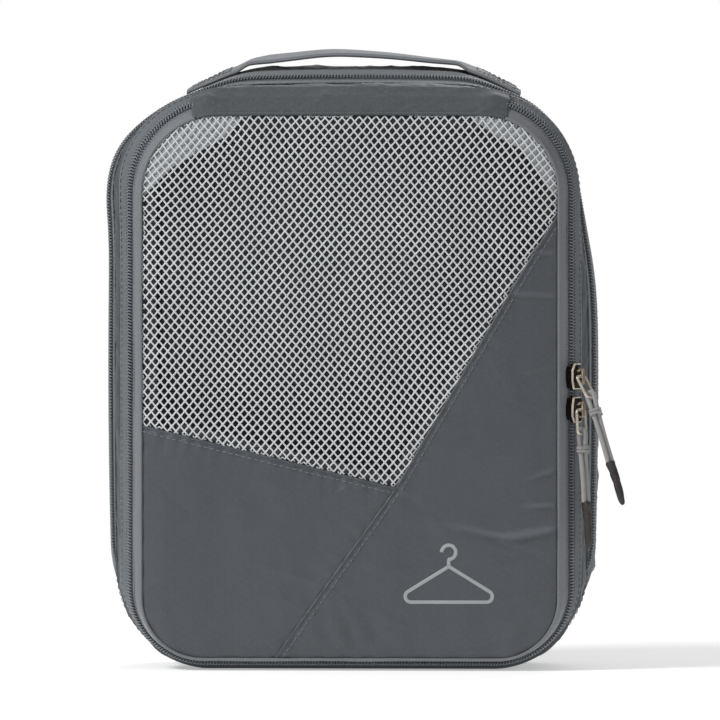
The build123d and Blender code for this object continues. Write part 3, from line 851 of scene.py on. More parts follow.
def clip_line(a, b, margin=0.6, n=400):
    t = np.linspace(0, 1, n)[:, None]
    p = a * (1 - t) + b * t
    return p[inside(p[:, 0], p[:, 1]) > margin]


def offset2(p, d):
    t = np.gradient(p, axis=0)
    t /= np.linalg.norm(t, axis=1)[:, None]
    return p + np.stack([-t[:, 1], t[:, 0]], 1) * d


FRONT_UP = np.array((0.0, -1.0, 0.0))
seam_a = clip_line(SEAM_L, MEET)
seam_b = clip_line(FOOT, MEET)
seam_c = np.concatenate([clip_line(MEET, KINK), clip_line(KINK, SEAM_R)[1:]])
for name, line, side_off in (
    ("seam_roll_left", offset2(seam_a, -0.45), -2.0),
    ("seam_roll_foot", offset2(seam_b, -0.45), -2.1),
    ("seam_roll_right", offset2(seam_c, -0.45), -2.1),
):
    p = on_front(line, 0.0)
    roll = tube_object(name, [p], 0.62, M["ripstop"], 8, None, 0.75)
    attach(roll, "front_flap")
    q = on_front(offset2(line, side_off), 0.12)
    st = stitches(name + "_stitches", q, np.broadcast_to(FRONT_UP, q.shape), 2.1, 0.7, M["thread"], 0.27, 0.16)
    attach(st, "front_flap")


def seam_edge(name, half, top, mat):
    """The turned edge of the front seam, which caps the ends of the net and the panels."""
    p = outline(FRONT, 0.1)
    up = (p[:, 1] > 200) & (np.abs(p[:, 0]) <= half)
    idx = np.flatnonzero(up if top else ~up)
    if not top:
        brk = np.flatnonzero(np.diff(idx) > 1)[0] + 1
        idx = np.concatenate([idx[brk:], idx[:brk]])
    q = p[idx]
    line = np.stack([q[:, 0], np.full(len(q), -36.25), q[:, 1]], 1)
    ob = tube_object(name, [line], 0.62, mat, 8, [np.broadcast_to(FRONT_UP, line.shape)], 0.9)
    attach(ob, "front_flap")
    return ob


seam_edge("front_edge_sides", 64.5, False, M["tape"])
seam_edge("front_edge_top", 66.0, True, M["hinge"])


# ------------------------------------------------------------------ zip tapes
def lerp_lift(points):
    v0, l0 = zip(*points)
    return lambda v, p: np.interp(v, v0, l0)


def tape_wave(amount, seed):
    def f(v, p, y):
        s = arc_length(p)[: len(p)]
        return amount * (np.sin(s / 7.3 + seed) * 0.5 + np.sin(s / 17.0 + 2 * seed) * 0.5) * math.sin(math.pi * min(max(v, 0), 1))
    return f


YF = np.linspace(-35.9, -29.25, 12)
YR = np.linspace(-28.75, -22.0, 12)
front_tape = band(
    "main_tape_front", YF, lerp_lift([(0, -0.35), (0.12, 0.25), (0.3, 0.3), (0.75, 0.05), (1, 0.0)]),
    M["tape"], 0.6, span=("sides", 62.0), wrinkle=tape_wave(0.18, 1.0), inner=M["tape_dark"],
)
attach(front_tape, "front_flap")
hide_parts("main_zip_tape_front")
rear_tape = band(
    "main_tape_rear", YR, lerp_lift([(0, 0.0), (0.3, 0.1), (0.75, 0.35), (0.92, 0.15), (1, -0.5)]),
    M["tape_dark"], 0.6, span=("sides", 62.0), wrinkle=tape_wave(0.18, 2.0), inner=M["tape_dark"],
)
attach(rear_tape, "front_frame")
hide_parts("main_zip_tape_rear")

YC = np.linspace(-13.0, -6.25, 14)
YD = np.linspace(-5.75, 1.0, 14)


def valley(y):
    """Section with the underside's valley made soft instead of stepped."""
    r = at(y)
    edge = min(abs(y + 13.0), abs(y - 1.0))
    soft = 8.5 * (1 - math.exp(-max(edge, 0) / 0.9))
    r[2] = soft if -13.0 <= y <= 1.0 else 0.0
    # the chain is drawn in a little all round
    pull = 0.5 * (1 - ((y + 6.0) / 7.0) ** 2)
    r[1] -= max(pull, 0)
    return r


comp_front = band("comp_tape_front", YC, 0.0, M["tape_dark"], 0.6, row_of=valley, inner=M["tape_dark"], keep_low=0.3)
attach(comp_front, "front_frame")
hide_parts("comp_zip_tape_front")
comp_rear = band("comp_tape_rear", YD, 0.0, M["tape"], 0.6, row_of=valley, inner=M["tape_dark"], keep_low=0.3)
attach(comp_rear, "rear_shell")
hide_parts("comp_zip_tape_rear")


# ------------------------------------------------------------------ zip chains
def chain_path(y, row_of, half=None):
    """Points, normals and across directions along a chain on the body, in mm."""
    a, b, c = (settle(outline(row_of(v)), v) for v in (y - 0.6, y, y + 0.6))
    P = np.stack([b[:, 0], np.full(len(b), y), b[:, 1]], 1)
    U = np.stack([c[:, 0] - a[:, 0], np.full(len(b), 1.2), c[:, 1] - a[:, 1]], 1)
    U /= np.linalg.norm(U, axis=1)[:, None]
    n2 = ring_normals(b)
    N = np.stack([n2[:, 0], np.zeros(len(b)), n2[:, 1]], 1)
    N -= (N * U).sum(1)[:, None] * U
    N /= np.linalg.norm(N, axis=1)[:, None]
    if half is not None:
        top = (P[:, 2] > 200) & (np.abs(P[:, 0]) <= half)
        idx = np.flatnonzero(~top)
        brk = np.flatnonzero(np.diff(idx) > 1)[0] + 1
        idx = np.concatenate([idx[brk:], idx[:brk]])
        return P[idx], N[idx], U[idx]
    return [np.concatenate([q, q[:1]]) for q in (P, N, U)]


def resample(P, fields, step):
    s = arc_length(P, False)
    n = max(2, int(s[-1] / step))
    ss = np.linspace(0, s[-1], n + 1)
    out = [np.stack([np.interp(ss, s, q[:, j]) for j in range(3)], 1) for q in (P, *fields)]
    return ss, out


def coil(name, y, row_of, direction, half, body, node, pitch=1.3, reach=2.0, phase=0.0):
    """One half of a nylon coil: direction -1 is the half towards the front."""
    P, N, U = chain_path(y, row_of, half)
    ss, (P, N, U) = resample(P, (N, U), pitch / 8)
    N /= np.linalg.norm(N, axis=1)[:, None]
    U /= np.linalg.norm(U, axis=1)[:, None]
    ph = 2 * math.pi * ss / pitch + phase
    # the loop is blunt where it interlocks and low where it is sewn down
    c, h = np.cos(ph), np.sin(ph)
    u = direction * (reach / 2 - 0.12 - (reach / 2 + 0.14) * np.sign(c) * np.abs(c) ** 0.75)
    z = 0.78 + 0.56 * h + 0.12 * c
    path = P + U * u[:, None] + N * z[:, None]
    ob = tube_object(name, [path], 0.31, M["coil"], 5, [N], 1.0)
    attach(ob, body)
    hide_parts(node)
    return ob


MAIN_Y, COMP_Y = -29.0, -6.0
coil("main_coil_front", MAIN_Y, at, -1, 65.4, "front_flap", "main_zip_coil_front")
coil("main_coil_rear", MAIN_Y, at, 1, 65.4, "front_frame", "main_zip_coil_rear", phase=math.pi)
coil("comp_coil_front", COMP_Y, valley, -1, None, "front_frame", "comp_zip_coil_front")
coil("comp_coil_rear", COMP_Y, valley, 1, None, "rear_shell", "comp_zip_coil_rear", phase=math.pi)


def ring_stitches(name, y, row_of, body, half=None, lift=0.25, long=2.0, gap=0.8, mat="thread", radius=0.22):
    P, N, U = chain_path(y, row_of, half)
    st = stitches(name, P + N * lift, N, long, gap, M[mat], radius)
    for v in st.data.vertices:
        v.co.z = max(v.co.z, 0.0)
    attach(st, body)
    return st


# the sewing that holds each coil down, and each tape's edge
ring_stitches("main_sewing_front", MAIN_Y - 2.6, at, "front_flap", 62.0, 0.1, 0.9, 0.4, radius=0.2)
ring_stitches("main_sewing_rear", MAIN_Y + 2.6, at, "front_frame", 62.0, 0.1, 0.9, 0.4, radius=0.2)
ring_stitches("comp_sewing_front", COMP_Y - 2.7, valley, "front_frame", None, 0.1, 0.9, 0.4, radius=0.2)
ring_stitches("comp_sewing_rear", COMP_Y + 2.7, valley, "rear_shell", None, 0.1, 0.9, 0.4, radius=0.2)
ring_stitches("tape_edge_stitches", -23.6, at, "front_frame", 62.0, 0.42)


# ------------------------------------------------------------------ gussets
def soft_row(y):
    """Rear gusset sections, rounded from front to back."""
    r = at(y)
    if y > 1.0:
        k = SECTIONS[6:]
        for i in (1, 3, 4, 5, 6, 7):
            r[i] = sum(
                k[a, i] * np.prod([(y - k[b, 0]) / (k[a, 0] - k[b, 0]) for b in range(4) if b != a]) for a in range(4)
            )
        r[2] = 4.5 * max(0.0, (y - 25.0) / 13.0) ** 2
        r[6] = max(r[6], 0.05)
        r[7] = max(r[7], 0.3)
    return r


def gusset_wrinkle(seed, amount, edge=0.16, bias=0.9):
    def f(v, p, y):
        s = arc_length(p)[: len(p)]
        x, z = p[:, 0], p[:, 1]
        mid = math.sin(math.pi * v) ** 0.7
        soft = fbm(x, y * 1.3 + 0 * x, z, 24.0, seed, 3) * 2.0
        fold = creases(x * 0.8 + y * 0.25, y * 0.5 + 0 * x, z * 0.8 - y * 0.3, 21.0, seed + 1, 7.0) * 1.6
        puck = 0.45 * np.sin(s / 1.6 + 2.2 * np.sin(s / 14.0)) * (math.exp(-v / edge) + math.exp(-(1 - v) / edge))
        corner = np.clip(1 - np.abs(np.abs(x) - 88) / 30, 0, 1) * np.clip(1 - np.minimum(np.abs(z - 18), np.abs(z - 225)) / 40, 0, 1)
        deep = corner * 0.9 * np.sin(s / 3.4 + 1.4 * np.sin(s / 9.0) + 3 * v)
        low = np.where(z < 6, 0.25, 1.0)  # it lies flat on what it stands on
        return ((soft + fold - bias + deep) * mid + puck * 0.6) * amount * low
    return f


mid = band(
    "mid_gusset_cloth", np.linspace(-22.0, -13.0, 16), lerp_lift([(0, -0.6), (0.15, 0.0), (0.5, 0.35), (0.85, 0.0), (1, -0.6)]),
    M["strip"], 0.7, wrinkle=gusset_wrinkle(11, 0.5), inner=M["lining"], keep_low=0.05,
)
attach(mid, "front_frame")
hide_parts("mid_gusset")

def rear_lift(v, p):
    full = np.interp(v, [0, 0.05, 0.5, 0.96, 1], [-0.5, 0.2, 0.1, 0.1, -0.5])
    slack = np.interp(v, [0, 0.05, 0.5, 0.96, 1], [-0.5, -0.1, -0.3, 0.0, -0.5])
    return np.where(p[:, 1] < 20, full, slack)


def rear_wrinkle(v, p, y):
    return gusset_wrinkle(21, 0.8, 0.06, 1.9)(v, p, y) * np.interp(p[:, 1], [238, 250], [1.0, 0.45])


rear = band(
    "rear_gusset_cloth", np.linspace(1.0, 38.0, 44), rear_lift,
    M["gusset"], 0.7, row_of=soft_row, wrinkle=rear_wrinkle, inner=M["lining"], keep_low=0.05,
)
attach(rear, "rear_shell")
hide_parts("rear_gusset")
ring_stitches("mid_seam_stitches", -14.3, at, "front_frame", None, 0.15, mat="thread_dark", radius=0.2)
ring_stitches("rear_seam_stitches", 2.6, soft_row, "rear_shell", None, -0.2, mat="thread_dark", radius=0.2)
ring_stitches("back_seam_stitches", 36.3, soft_row, "rear_shell", None, -0.08, mat="thread_dark", radius=0.2)


# ------------------------------------------------------------------ back panel
BACK = SECTIONS[-1]
BZ = (BACK[2] + BACK[3]) / 2


def back_inside(x, z):
    r = np.where(z > BZ, 35.0, 28.0)
    qx = np.abs(x) - (BACK[1] - r)
    qz = np.abs(z - BZ) - ((BACK[3] - BACK[2]) / 2 - r)
    return -(np.hypot(np.maximum(qx, 0), np.maximum(qz, 0)) + np.minimum(np.maximum(qx, qz), 0) - r)


def back_mesh(step=1.5):
    xs = np.arange(-BACK[1] - 1, BACK[1] + 1 + step, step)
    zs = np.arange(BACK[2] - 1, BACK[3] + 1 + step, step)
    X, Z = np.meshgrid(xs, zs)
    x, z = X.ravel().copy(), Z.ravel().copy()
    faces = grid_faces(*X.shape, False)
    faces = faces[(back_inside(x, z)[faces] > 0).any(1)]
    for _ in range(3):
        e = 0.05
        gx = (back_inside(x + e, z) - back_inside(x - e, z)) / (2 * e)
        gz = (back_inside(x, z + e) - back_inside(x, z - e)) / (2 * e)
        d = back_inside(x, z)
        out = d < 0
        x[out] -= (d * gx)[out]
        z[out] -= (d * gz)[out]
    used = np.unique(faces)
    remap = np.full(len(x), -1)
    remap[used] = np.arange(len(used))
    x, z, faces = x[used], z[used], remap[faces]
    d = np.maximum(back_inside(x, z), 0)
    y = 3.0 * (1 - np.exp(-d / 14.0)) - 0.5 * np.exp(-((d / 1.3) ** 2))
    k = np.minimum(d / 10, 1)
    y = y + (fbm(x, z, 0 * x, 40.0, 31, 3) * 0.9 + crumple(x, z, 33, 26, (-80, 20, 80, 225), 0.1, 0.6, 0.6)) * k
    y = y + 0.28 * np.sin(z / 1.9 + 2.1 * np.sin(z / 15.0)) * np.exp(-d / 4.5) * np.minimum(d / 1.5, 1) * (np.abs(x) > 66)
    y = y + 0.28 * np.sin(x / 1.9 + 2.1 * np.sin(x / 15.0)) * np.exp(-d / 4.5) * np.minimum(d / 1.5, 1) * (np.abs(z - BZ) > 84)
    P = np.stack([x, 38.0 + y, z], 1)
    ob = add_mesh("back_cloth", P * MM, faces, M["ripstop"], P[:, [0, 2]] * MM)
    bm = bmesh.new()
    bm.from_mesh(ob.data)
    bmesh.ops.dissolve_degenerate(bm, dist=2e-5, edges=bm.edges)
    bm.to_mesh(ob.data)
    bm.free()
    if sum(p.normal.y for p in ob.data.polygons) < 0:
        ob.data.flip_normals()
    return thicken(ob, 0.7 * MM, -1.0, M["lining"])


back = back_mesh()
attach(back, "rear_shell")
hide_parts("back_panel")


# ------------------------------------------------------------------ cloth hinge over the top
def hinge_set(v, p, y):
    """Puckers at both seams, and the ridge over the chain's two ends."""
    s, x = arc_length(p)[: len(p)], p[:, 0]
    over = np.clip((np.abs(x) - 50) / 10, 0, 1) ** 2 * math.exp(-(((y + 29.0) / 3.2) ** 2))
    puck = np.sin(s / 1.25 + 2.4 * np.sin(s / 11.0)) * (0.55 + 0.45 * np.sin(s / 7.3 + 1.0))
    edge = math.exp(-v / 0.20) * 0.42 + math.exp(-(1 - v) / 0.14) * 0.06
    return 1.25 * over + puck * edge * 0.8 + gusset_wrinkle(41, 0.5, 0.1)(v, p, y) * 0.7


hinge = band(
    "hinge_cloth", np.linspace(-36.2, -21.6, 30), lerp_lift([(0, -0.2), (0.08, 0.6), (0.5, 1.3), (0.9, 0.8), (1, -0.45)]),
    M["hinge"], 0.8, span=("top", 66.5), wrinkle=hinge_set, inner=M["lining"],
)
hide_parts("hinge_band_front", "hinge_band_rear")
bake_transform(hinge)


# ------------------------------------------------------------------ cloth let out by the compression zip
def pleat():
    q = np.linspace(0, 1, 15)
    ys = -9.6 + 7.2 * q
    rings = []
    for y, t in zip(ys, q):
        r = at(-6.0)
        r[2] = 9.6
        p = settle(outline(r, 2.3 + 4.2 * math.sin(math.pi * t)), y)
        run = arc_length(p)[: len(p)]
        slack = 0.9 * fbm(p[:, 0], 0 * run + 34.0 * t, p[:, 1], 21.0, 51, 3)
        slack = slack + 0.35 * np.sin(run / 2.6 + 2.0 * np.sin(run / 17.0) + 2.2 * t) * (0.4 + 0.6 * abs(2 * t - 1))
        p = p + ring_normals(p) * (slack * math.sin(math.pi * t) ** 0.7)[:, None]
        rings.append(np.stack([p[:, 0], np.full(len(p), y), p[:, 1]], 1))
    pts = np.stack(rings)
    pts = np.concatenate([pts, pts[:, :1]], 1)
    s = arc_length(outline(at(-6.0)))
    uv = np.stack([np.broadcast_to(s, pts.shape[:2]), np.broadcast_to((q * 44)[:, None], pts.shape[:2])], -1)
    ob = add_mesh("expansion_cloth", pts.reshape(-1, 3) * MM, grid_faces(len(ys), pts.shape[1], False), M["strip"], uv.reshape(-1, 2) * MM)
    bm = bmesh.new()
    bm.from_mesh(ob.data)
    bmesh.ops.remove_doubles(bm, verts=bm.verts, dist=1e-6)
    bm.to_mesh(ob.data)
    bm.free()
    fix_outward(ob)
    return thicken(ob, 0.5 * MM, -1.0, M["lining"])


ex = pleat()
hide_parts("expansion_gusset")
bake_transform(ex)


# ------------------------------------------------------------------ handle
HY, HW, HT = 13.0, 10.0, 1.9


def top_z(x, y):
    p = settle(outline(soft_row(y)), y)
    up = p[p[:, 1] > 150]
    o = np.argsort(up[:, 0])
    return np.interp(x, up[o, 0], up[o, 1])


def strap(name, x0, x1, n):
    """Half of the webbing handle, from x0 to x1, as a closed flat strap."""
    xs = np.linspace(x0, x1, n)
    prof = []
    hw, ht, r = HW, HT / 2, 0.7
    for cx, cz, a0 in ((hw - r, ht - r, 0), (-(hw - r), ht - r, 90), (-(hw - r), -(ht - r), 180), (hw - r, -(ht - r), 270)):
        for a in (0, 30, 60, 90):
            t = math.radians(a0 + a)
            prof.append((cx + r * math.cos(t), cz + r * math.sin(t)))
        if a0 in (0, 180):
            sgn = 1 if a0 == 0 else -1
            for k in (0.66, 0.33, 0.0, -0.33, -0.66):
                prof.append((sgn * k * hw, sgn * ht))
    prof = np.array(prof)
    arch = 264.6 - HT / 2 - xs**2 / (2 * 165.9) - 2.3 * np.clip(1 - (xs / 50) ** 2, 0, 1)
    arch = arch - 1.1 * np.exp(-(((xs - 24) / 17) ** 2))
    mix = np.clip((50.5 - np.abs(xs)) / 7.0, 0, 1)
    mix = mix * mix * (3 - 2 * mix)
    V, UV = [], []
    s = np.concatenate([[0], np.cumsum(np.hypot(np.diff(xs), np.diff(arch)))])
    per = np.concatenate([[0], np.cumsum(np.linalg.norm(np.diff(prof, axis=0), axis=1))])
    for i, x in enumerate(xs):
        sewn = np.array([top_z(x, HY + py) for py in prof[:, 0]]) + HT / 2 + 0.35
        centre = arch[i] * mix[i] + sewn * (1 - mix[i])
        wob = 0.25 * math.sin(x / 9.0)
        roll = float(np.interp(x, [-50, -36, 0, 36, 50], [0.6, 2.4, 1.6, 0.7, 0.2])) * mix[i]
        rise = centre + prof[:, 1] + prof[:, 0] / HW * roll / 2 + 0.15 * math.sin(x / 5.0 + prof[0, 0])
        V.append(np.stack([np.full(len(prof), x), HY + prof[:, 0] + wob, rise], 1))
        UV.append(np.stack([per, np.full(len(prof), s[i])], 1))
    V, UV = np.array(V), np.array(UV)
    F = grid_faces(n, len(prof), True).tolist()
    m = len(prof)
    F += [list(range(m))[::-1], list(range((n - 1) * m, n * m))]
    ob = add_mesh(name, V.reshape(-1, 3) * MM, F, M["webbing"], UV.reshape(-1, 2) * MM)
    b = bmesh.new()
    b.from_mesh(ob.data)
    bmesh.ops.recalc_face_normals(b, faces=b.faces)
    for f in b.faces:
        if len(f.verts) == m:
            for e in f.edges:
                e.smooth = False
    b.to_mesh(ob.data)
    b.free()
    return ob


for side, name in ((-1, "left"), (1, "right")):
    ob = strap(f"handle_strap_{name}", side * 71.0, 0.0, 90)
    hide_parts(f"handle_end_{name}", "handle_webbing")
    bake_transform(ob)
    # box and cross that sew the end down
    x0, x1 = side * 69.0, side * 52.5
    ya, yb = HY - HW + 1.8, HY + HW - 1.8
    corners = [(x0, ya), (x1, ya), (x1, yb), (x0, yb), (x0, ya), (x1, yb)], [(x0, yb), (x1, ya)]
    for j, c in enumerate(corners):
        pts = []
        for (ax, ay), (bx, by) in zip(c, c[1:]):
            t = np.linspace(0, 1, 24)[:-1, None]
            pts.append(np.array([[ax, ay]]) * (1 - t) + np.array([[bx, by]]) * t)
        xy = np.concatenate(pts)
        z = np.array([top_z(x, y) for x, y in xy]) + HT + 0.45
        line = np.stack([xy[:, 0], xy[:, 1], z], 1)
        st = stitches(f"handle_stitches_{name}_{j}", line, np.broadcast_to((side * 0.25, 0, 0.97), line.shape), 1.7, 0.6, M["thread"], 0.3)
        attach(st, "rear_shell")


# ------------------------------------------------------------------ bound seams inside
def binding(name, y, wide, node, body, thick=1.3):
    """The folded tape over a seam's raw edges: it stands in from the skin, all the way round."""
    V, UV = [], []
    prof = []
    for a in np.linspace(0, 2 * math.pi, 14, endpoint=False):
        prof.append((1.3 + wide / 2 + (wide / 2) * math.copysign(abs(math.cos(a)) ** 0.35, math.cos(a)), thick / 2 * math.copysign(abs(math.sin(a)) ** 0.7, math.sin(a))))
    base_ring = settle(outline(at(y)), y)
    nrm = ring_normals(base_ring)
    s = arc_length(base_ring)[: len(base_ring)]
    for k, (inset, dy) in enumerate(prof):
        wob = 0.22 * np.sin(s / 6.1 + 0.7) * inset / wide
        q = base_ring - nrm * inset
        V.append(np.stack([q[:, 0], y + dy + wob, np.maximum(q[:, 1], 0.4)], 1))
        UV.append(np.stack([s, np.full(len(s), k * 1.0)], 1))
    V, UV = np.stack(V), np.stack(UV)
    nt = V.shape[1]
    r = np.arange(len(prof))[:, None]
    c = np.arange(nt)[None, :]
    r2, c2 = (r + 1) % len(prof), (c + 1) % nt
    F = np.stack([r * nt + c, r * nt + c2, r2 * nt + c2, r2 * nt + c], -1).reshape(-1, 4)
    ob = add_mesh(name, V.reshape(-1, 3) * MM, F, M["binding"], UV.reshape(-1, 2) * MM)
    b = bmesh.new()
    b.from_mesh(ob.data)
    bmesh.ops.recalc_face_normals(b, faces=b.faces)
    b.to_mesh(ob.data)
    b.free()
    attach(ob, body)
    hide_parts(node)


binding("front_binding_tape", -34.2, 6.8, "front_seam_binding", "front_flap")
binding("mid_binding_tape", -20.7, 7.0, "mid_seam_binding", "front_frame")
binding("back_binding_tape", 36.1, 7.4, "back_seam_binding", "rear_shell")


# ------------------------------------------------------------------ sliders, rings, pulls
NODE_LOOK = {
    "panel_seam_binding": "binding",
    "pull_ring_upper": "wire", "pull_ring_lower": "wire", "comp_pull_ring": "wire",
}
for node, look_name in NODE_LOOK.items():
    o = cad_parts[node]
    for i in range(max(1, len(o.material_slots))):
        if not o.material_slots:
            o.data.materials.append(M[look_name])
        else:
            o.material_slots[i].material = M[look_name]

OUT = np.array((0.82473, -0.56553, 0.0))


def cast_slider(node, body):
    """The die-cast slider with its edges broken: plated dark, with a painted highlight along the edges and on the
    bail.
    """
    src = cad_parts[node]
    me = src.data.copy()
    me.name = node + "_cast"
    ob = bpy.data.objects.new(node + "_cast", me)
    col.objects.link(ob)
    ob.matrix_world = src.matrix_world.copy()
    me.materials.clear()
    me.materials.append(M["slider"])
    me.materials.append(M["slider_edge_highlight"])
    me.materials.append(M["slider_bail_highlight"])
    me.polygons.foreach_set("material_index", [0] * len(me.polygons))
    b = bmesh.new()
    b.from_mesh(me)
    bmesh.ops.remove_doubles(b, verts=b.verts, dist=2e-6)
    bmesh.ops.dissolve_limit(b, angle_limit=math.radians(3), verts=b.verts, edges=b.edges)
    up = Vector(OUT) if "main" in node else Vector((0, 0, -1))
    spot = Vector((0.0932, -0.029, 0)) if "main" in node else Vector((0, 0, 0.0085))
    turn = ob.matrix_world.to_3x3()
    flat_up = lambda c: Vector((c.x, c.y, 0 if "main" in node else c.z))
    for f in b.faces:
        n = (flat_up(ob.matrix_world @ f.calc_center_median()) - spot).dot(up)
        lean = abs((turn @ f.normal).normalized().dot(up))
        # painted highlight: the rim faces and the bail at the top take the lighter copies of the plating
        highlight_rim = 0.12 < lean < 0.96 and 2.6 * MM < n < 4.3 * MM
        f.material_index = 1 if highlight_rim else 2 if n > 4.2 * MM else 0
    sharp = [
        e for e in b.edges
        if len(e.link_faces) == 2 and e.calc_length() > 0.9 * MM and e.calc_face_angle(0) > math.radians(50)
    ]
    # the bevel faces take the painted edge highlight (material 1)
    bmesh.ops.bevel(
        b, geom=sharp, offset=0.28 * MM, offset_type="OFFSET", segments=2, profile=0.5,
        affect="EDGES", clamp_overlap=True, material=1,
    )
    b.to_mesh(me)
    b.free()
    ob.data.shade_smooth()
    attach(ob, body)
    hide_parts(node)


cast_slider("main_slider_upper", "upper_slider")
cast_slider("main_slider_lower", "lower_slider")
cast_slider("comp_slider", "bottom_slider")

DOWN = np.array((0.0, 0.0, -1.0))
ROUTE = [
    (29.0, 0.98, 0.35), (20.0, 1.04, 0.15), (11.0, 0.98, 0.45), (3.6, 0.55, 1.12), (-2.0, 0.15, 1.85),
    (-2.0, -0.15, -1.85), (3.6, -0.55, -1.12), (11.0, -0.98, -0.45), (20.0, -1.04, -0.15), (29.0, -0.98, -0.35),
]


def pull_frame(bar, along, out, angle):
    t = math.radians(angle)
    x = along * math.cos(t) + out * math.sin(t)
    n = out * math.cos(t) - along * math.sin(t)
    return np.array(bar), x, np.cross(n, x), n


PULLS = (
    ("upper", pull_frame((101.777, -34.881, 115.92), DOWN, OUT, 20.0), "upper_cord", "pull_cord_upper", "cord_end_upper"),
    ("lower", pull_frame((97.981, -32.279, 100.324), DOWN, OUT, 4.3), "lower_cord", "pull_cord_lower", "cord_end_lower"),
    ("bottom", (np.array((-15.0, -6.0, 3.4)), np.array((1.0, 0, 0)), np.array((0, -1.0, 0)), np.array((0, 0, -1.0))),
     "bottom_cord", "comp_pull_cord", "comp_cord_end"),
)


def place(fr, p):
    o, x, y, n = fr
    p = np.asarray(p, float)
    return o + p[..., :1] * x + p[..., 1:2] * y + p[..., 2:3] * n


for name, fr, body, cord_node, end_node in PULLS:
    cu = bpy.data.curves.new(f"pull_cord_{name}", "CURVE")
    cu.dimensions = "3D"
    sp = cu.splines.new("NURBS")
    sp.points.add(len(ROUTE) - 1)
    for q, p in zip(sp.points, place(fr, ROUTE)):
        q.co = (*(p * MM), 1.0)
    sp.order_u = 3
    sp.use_endpoint_u = True
    sp.resolution_u = 10
    cu.bevel_depth = 1.0 * MM
    cu.bevel_resolution = 4
    cu.use_fill_caps = True
    cu.materials.append(M["cord"])
    ob = bpy.data.objects.new(f"{name}_cord", cu)
    col.objects.link(ob)
    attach(ob, body)
    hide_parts(cord_node)
    # the wrap that keeps the doubled cord together under the ring
    turns = np.linspace(0, 2 * math.pi * 2.15, 60)
    wrap = np.stack([5.4 + turns * 0.20 + 0.3 * np.sin(turns), 2.3 * np.cos(turns), 2.05 * np.sin(turns)], 1)
    hitch = tube_object(f"{name}_hitch", [place(fr, wrap)], 0.72, M["cord"], 8, [np.broadcast_to(fr[1], (60, 3))], 1.0)
    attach(hitch, body)
    # crimped end
    st = np.array([28.6, 29.0, 29.8, 30.4, 33.0, 33.6, 34.3, 37.5, 38.1, 38.8, 43.0, 45.5, 47.0, 47.9, 48.2])
    rw = np.array([1.7, 2.1, 2.3, 2.25, 2.2, 1.95, 2.2, 2.2, 1.95, 2.15, 2.0, 1.8, 1.5, 0.9, 0.3])
    rt = np.array([1.5, 1.8, 1.95, 1.9, 1.75, 1.5, 1.7, 1.6, 1.4, 1.6, 1.45, 1.3, 1.1, 0.7, 0.25])
    V, UV = [], []
    th0 = np.arange(20) * 2 * math.pi / 20
    for i, (s, a, b) in enumerate(zip(st, rw, rt)):
        th = np.arange(20) * 2 * math.pi / 20
        bend = 0.35 * math.sin((s - 29) / 6.0)
        crimp = 1 + 0.10 * np.sin(3 * th0 + s * 1.3) + 0.07 * np.sin(2 * th0 - s * 0.9)
        a, b = a * crimp, b * crimp
        V.append(place(fr, np.stack([np.full(20, s), a * np.cos(th) + bend, b * np.sin(th)], 1)))
        UV.append(np.stack([th * 2, np.full(20, s)], 1))
    F = grid_faces(len(st), 20, True).tolist() + [list(range(20))[::-1], list(range((len(st) - 1) * 20, len(st) * 20))]
    tip = add_mesh(f"{name}_tip", np.concatenate(V) * MM, F, M["tip"], np.concatenate(UV) * MM)
    b = bmesh.new()
    b.from_mesh(tip.data)
    bmesh.ops.recalc_face_normals(b, faces=b.faces)
    b.to_mesh(tip.data)
    b.free()
    sub = tip.modifiers.new("sub", "SUBSURF")
    sub.levels = sub.render_levels = 1
    apply_modifiers(tip)
    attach(tip, body)
    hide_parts(end_node)


# ------------------------------------------------------------------ printed pictogram
def flat_strokes(name, lines, radius, mat):
    """Printed strokes on the lower right panel: flat ribbons a hair above the cloth."""
    V, F = [], []
    base = 0
    for line in lines:
        p = np.array(line)
        s = arc_length(p, False)
        ss = np.linspace(0, s[-1], max(3, int(s[-1] / 0.5)))
        p = np.stack([np.interp(ss, s, p[:, j]) for j in range(2)], 1)
        a, b = offset2(p, radius), offset2(p, -radius)
        rows = np.stack([a, (a + p) / 2, p, (b + p) / 2, b], 1)
        q = on_front(rows.reshape(-1, 2), 0.07)
        V.append(q)
        F.extend((grid_faces(len(p), 5, False) + base).tolist())
        base += len(q)
    ob = add_mesh(name, np.concatenate(V) * MM, F, mat)
    if sum(p.normal.y for p in ob.data.polygons) > 0:
        ob.data.flip_normals()
    return thicken(ob, 0.05 * MM, 1.0)


def curve_pts(centre, r, a0, a1, n=24):
    t = np.radians(np.linspace(a0, a1, n))
    return [(centre[0] + r * math.cos(k), centre[1] + r * math.sin(k)) for k in t]


HXc, HZc = 42.0, 36.0
hanger = [
    curve_pts((HXc, HZc + 14.5), 3.0, 180, -90, 26) + [(HXc, HZc + 8.5)],
    [(HXc, HZc + 8.5), (HXc + 17.0, HZc - 2.0)] + curve_pts((HXc + 16.0, HZc - 4.2), 2.4, 60, -90, 10)
    + [(HXc - 16.0, HZc - 6.6)] + curve_pts((HXc - 16.0, HZc - 4.2), 2.4, 270, 120, 10) + [(HXc, HZc + 8.5)],
]
logo = flat_strokes("print_hanger", hanger, 0.75, M["print"])
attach(logo, "front_flap")


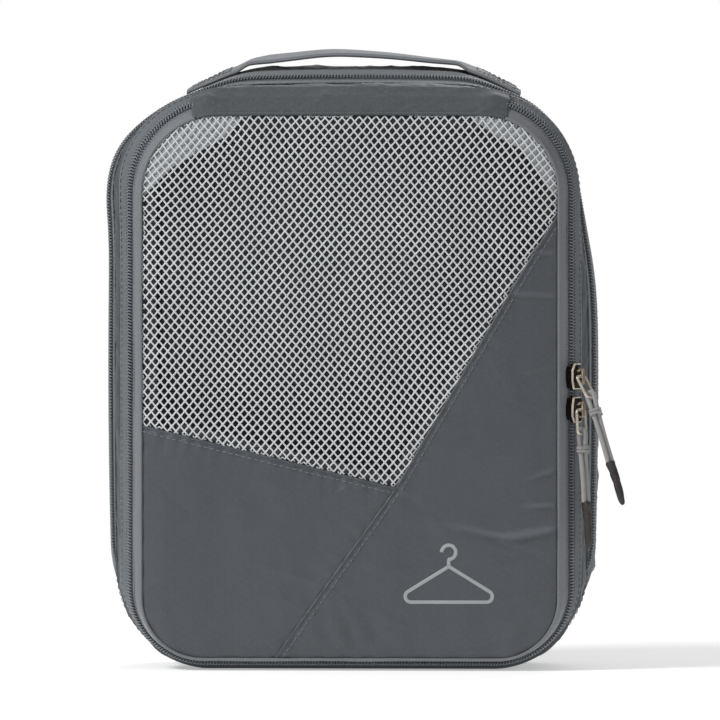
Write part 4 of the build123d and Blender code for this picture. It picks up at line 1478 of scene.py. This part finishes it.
# ------------------------------------------------------------------ floor and light
def stage_plane(name, pts, mat):
    me = bpy.data.meshes.new(name)
    me.from_pydata(pts, [], [tuple(range(len(pts)))])
    me.materials.append(mat)
    ob = bpy.data.objects.new(name, me)
    col.objects.link(ob)
    return ob


floor_mat = Nodes("pale_floor")
floor_mat.bsdf.inputs["Base Color"].default_value = (0.82, 0.82, 0.82, 1)
floor_mat.bsdf.inputs["Roughness"].default_value = 0.9
floor_mat.bsdf.inputs["Emission Color"].default_value = (1, 1, 1, 1)
floor_mat.bsdf.inputs["Emission Strength"].default_value = 0.36
ring = [(0.75 * math.cos(t), 0.75 * math.sin(t), 0) for t in np.linspace(0, 2 * math.pi, 72, endpoint=False)]
stage_plane("floor", ring, floor_mat.mat)

world = bpy.data.worlds.new("studio")
scene.world = world
world.use_nodes = True
wt = world.node_tree
wt.nodes["Background"].inputs[0].default_value = (1, 1, 1, 1)
wt.nodes["Background"].inputs[1].default_value = 0.30
seen = wt.nodes.new("ShaderNodeBackground")
seen.inputs[0].default_value = (1, 1, 1, 1)
seen.inputs[1].default_value = 1.0
pick = wt.nodes.new("ShaderNodeMixShader")
wt.links.new(wt.nodes.new("ShaderNodeLightPath").outputs["Is Camera Ray"], pick.inputs[0])
wt.links.new(wt.nodes["Background"].outputs[0], pick.inputs[1])
wt.links.new(seen.outputs[0], pick.inputs[2])
wt.links.new(pick.outputs[0], wt.nodes["World Output"].inputs[0])


def area(name, loc, target, size, power):
    l = bpy.data.lights.new(name, "AREA")
    l.shape = "RECTANGLE"
    l.size, l.size_y = size
    l.energy = power
    o = bpy.data.objects.new(name, l)
    col.objects.link(o)
    o.location = loc
    o.rotation_euler = (Vector(target) - Vector(loc)).to_track_quat("-Z", "Y").to_euler()
    return o


area("key", (-1.3, -0.80, 1.45), (0, 0, 0.12), (0.5, 0.5), 30)
area("fill", (1.5, -1.2, 0.7), (0, 0, 0.12), (1.0, 1.0), 5)
area("front", (0.2, -2.2, 0.9), (0, 0, 0.12), (1.0, 0.8), 2.5)
area("back_rim", (0.4, 1.6, 1.5), (0, 0, 0.15), (1.2, 0.8), 12)
scene.view_settings.view_transform = "Standard"
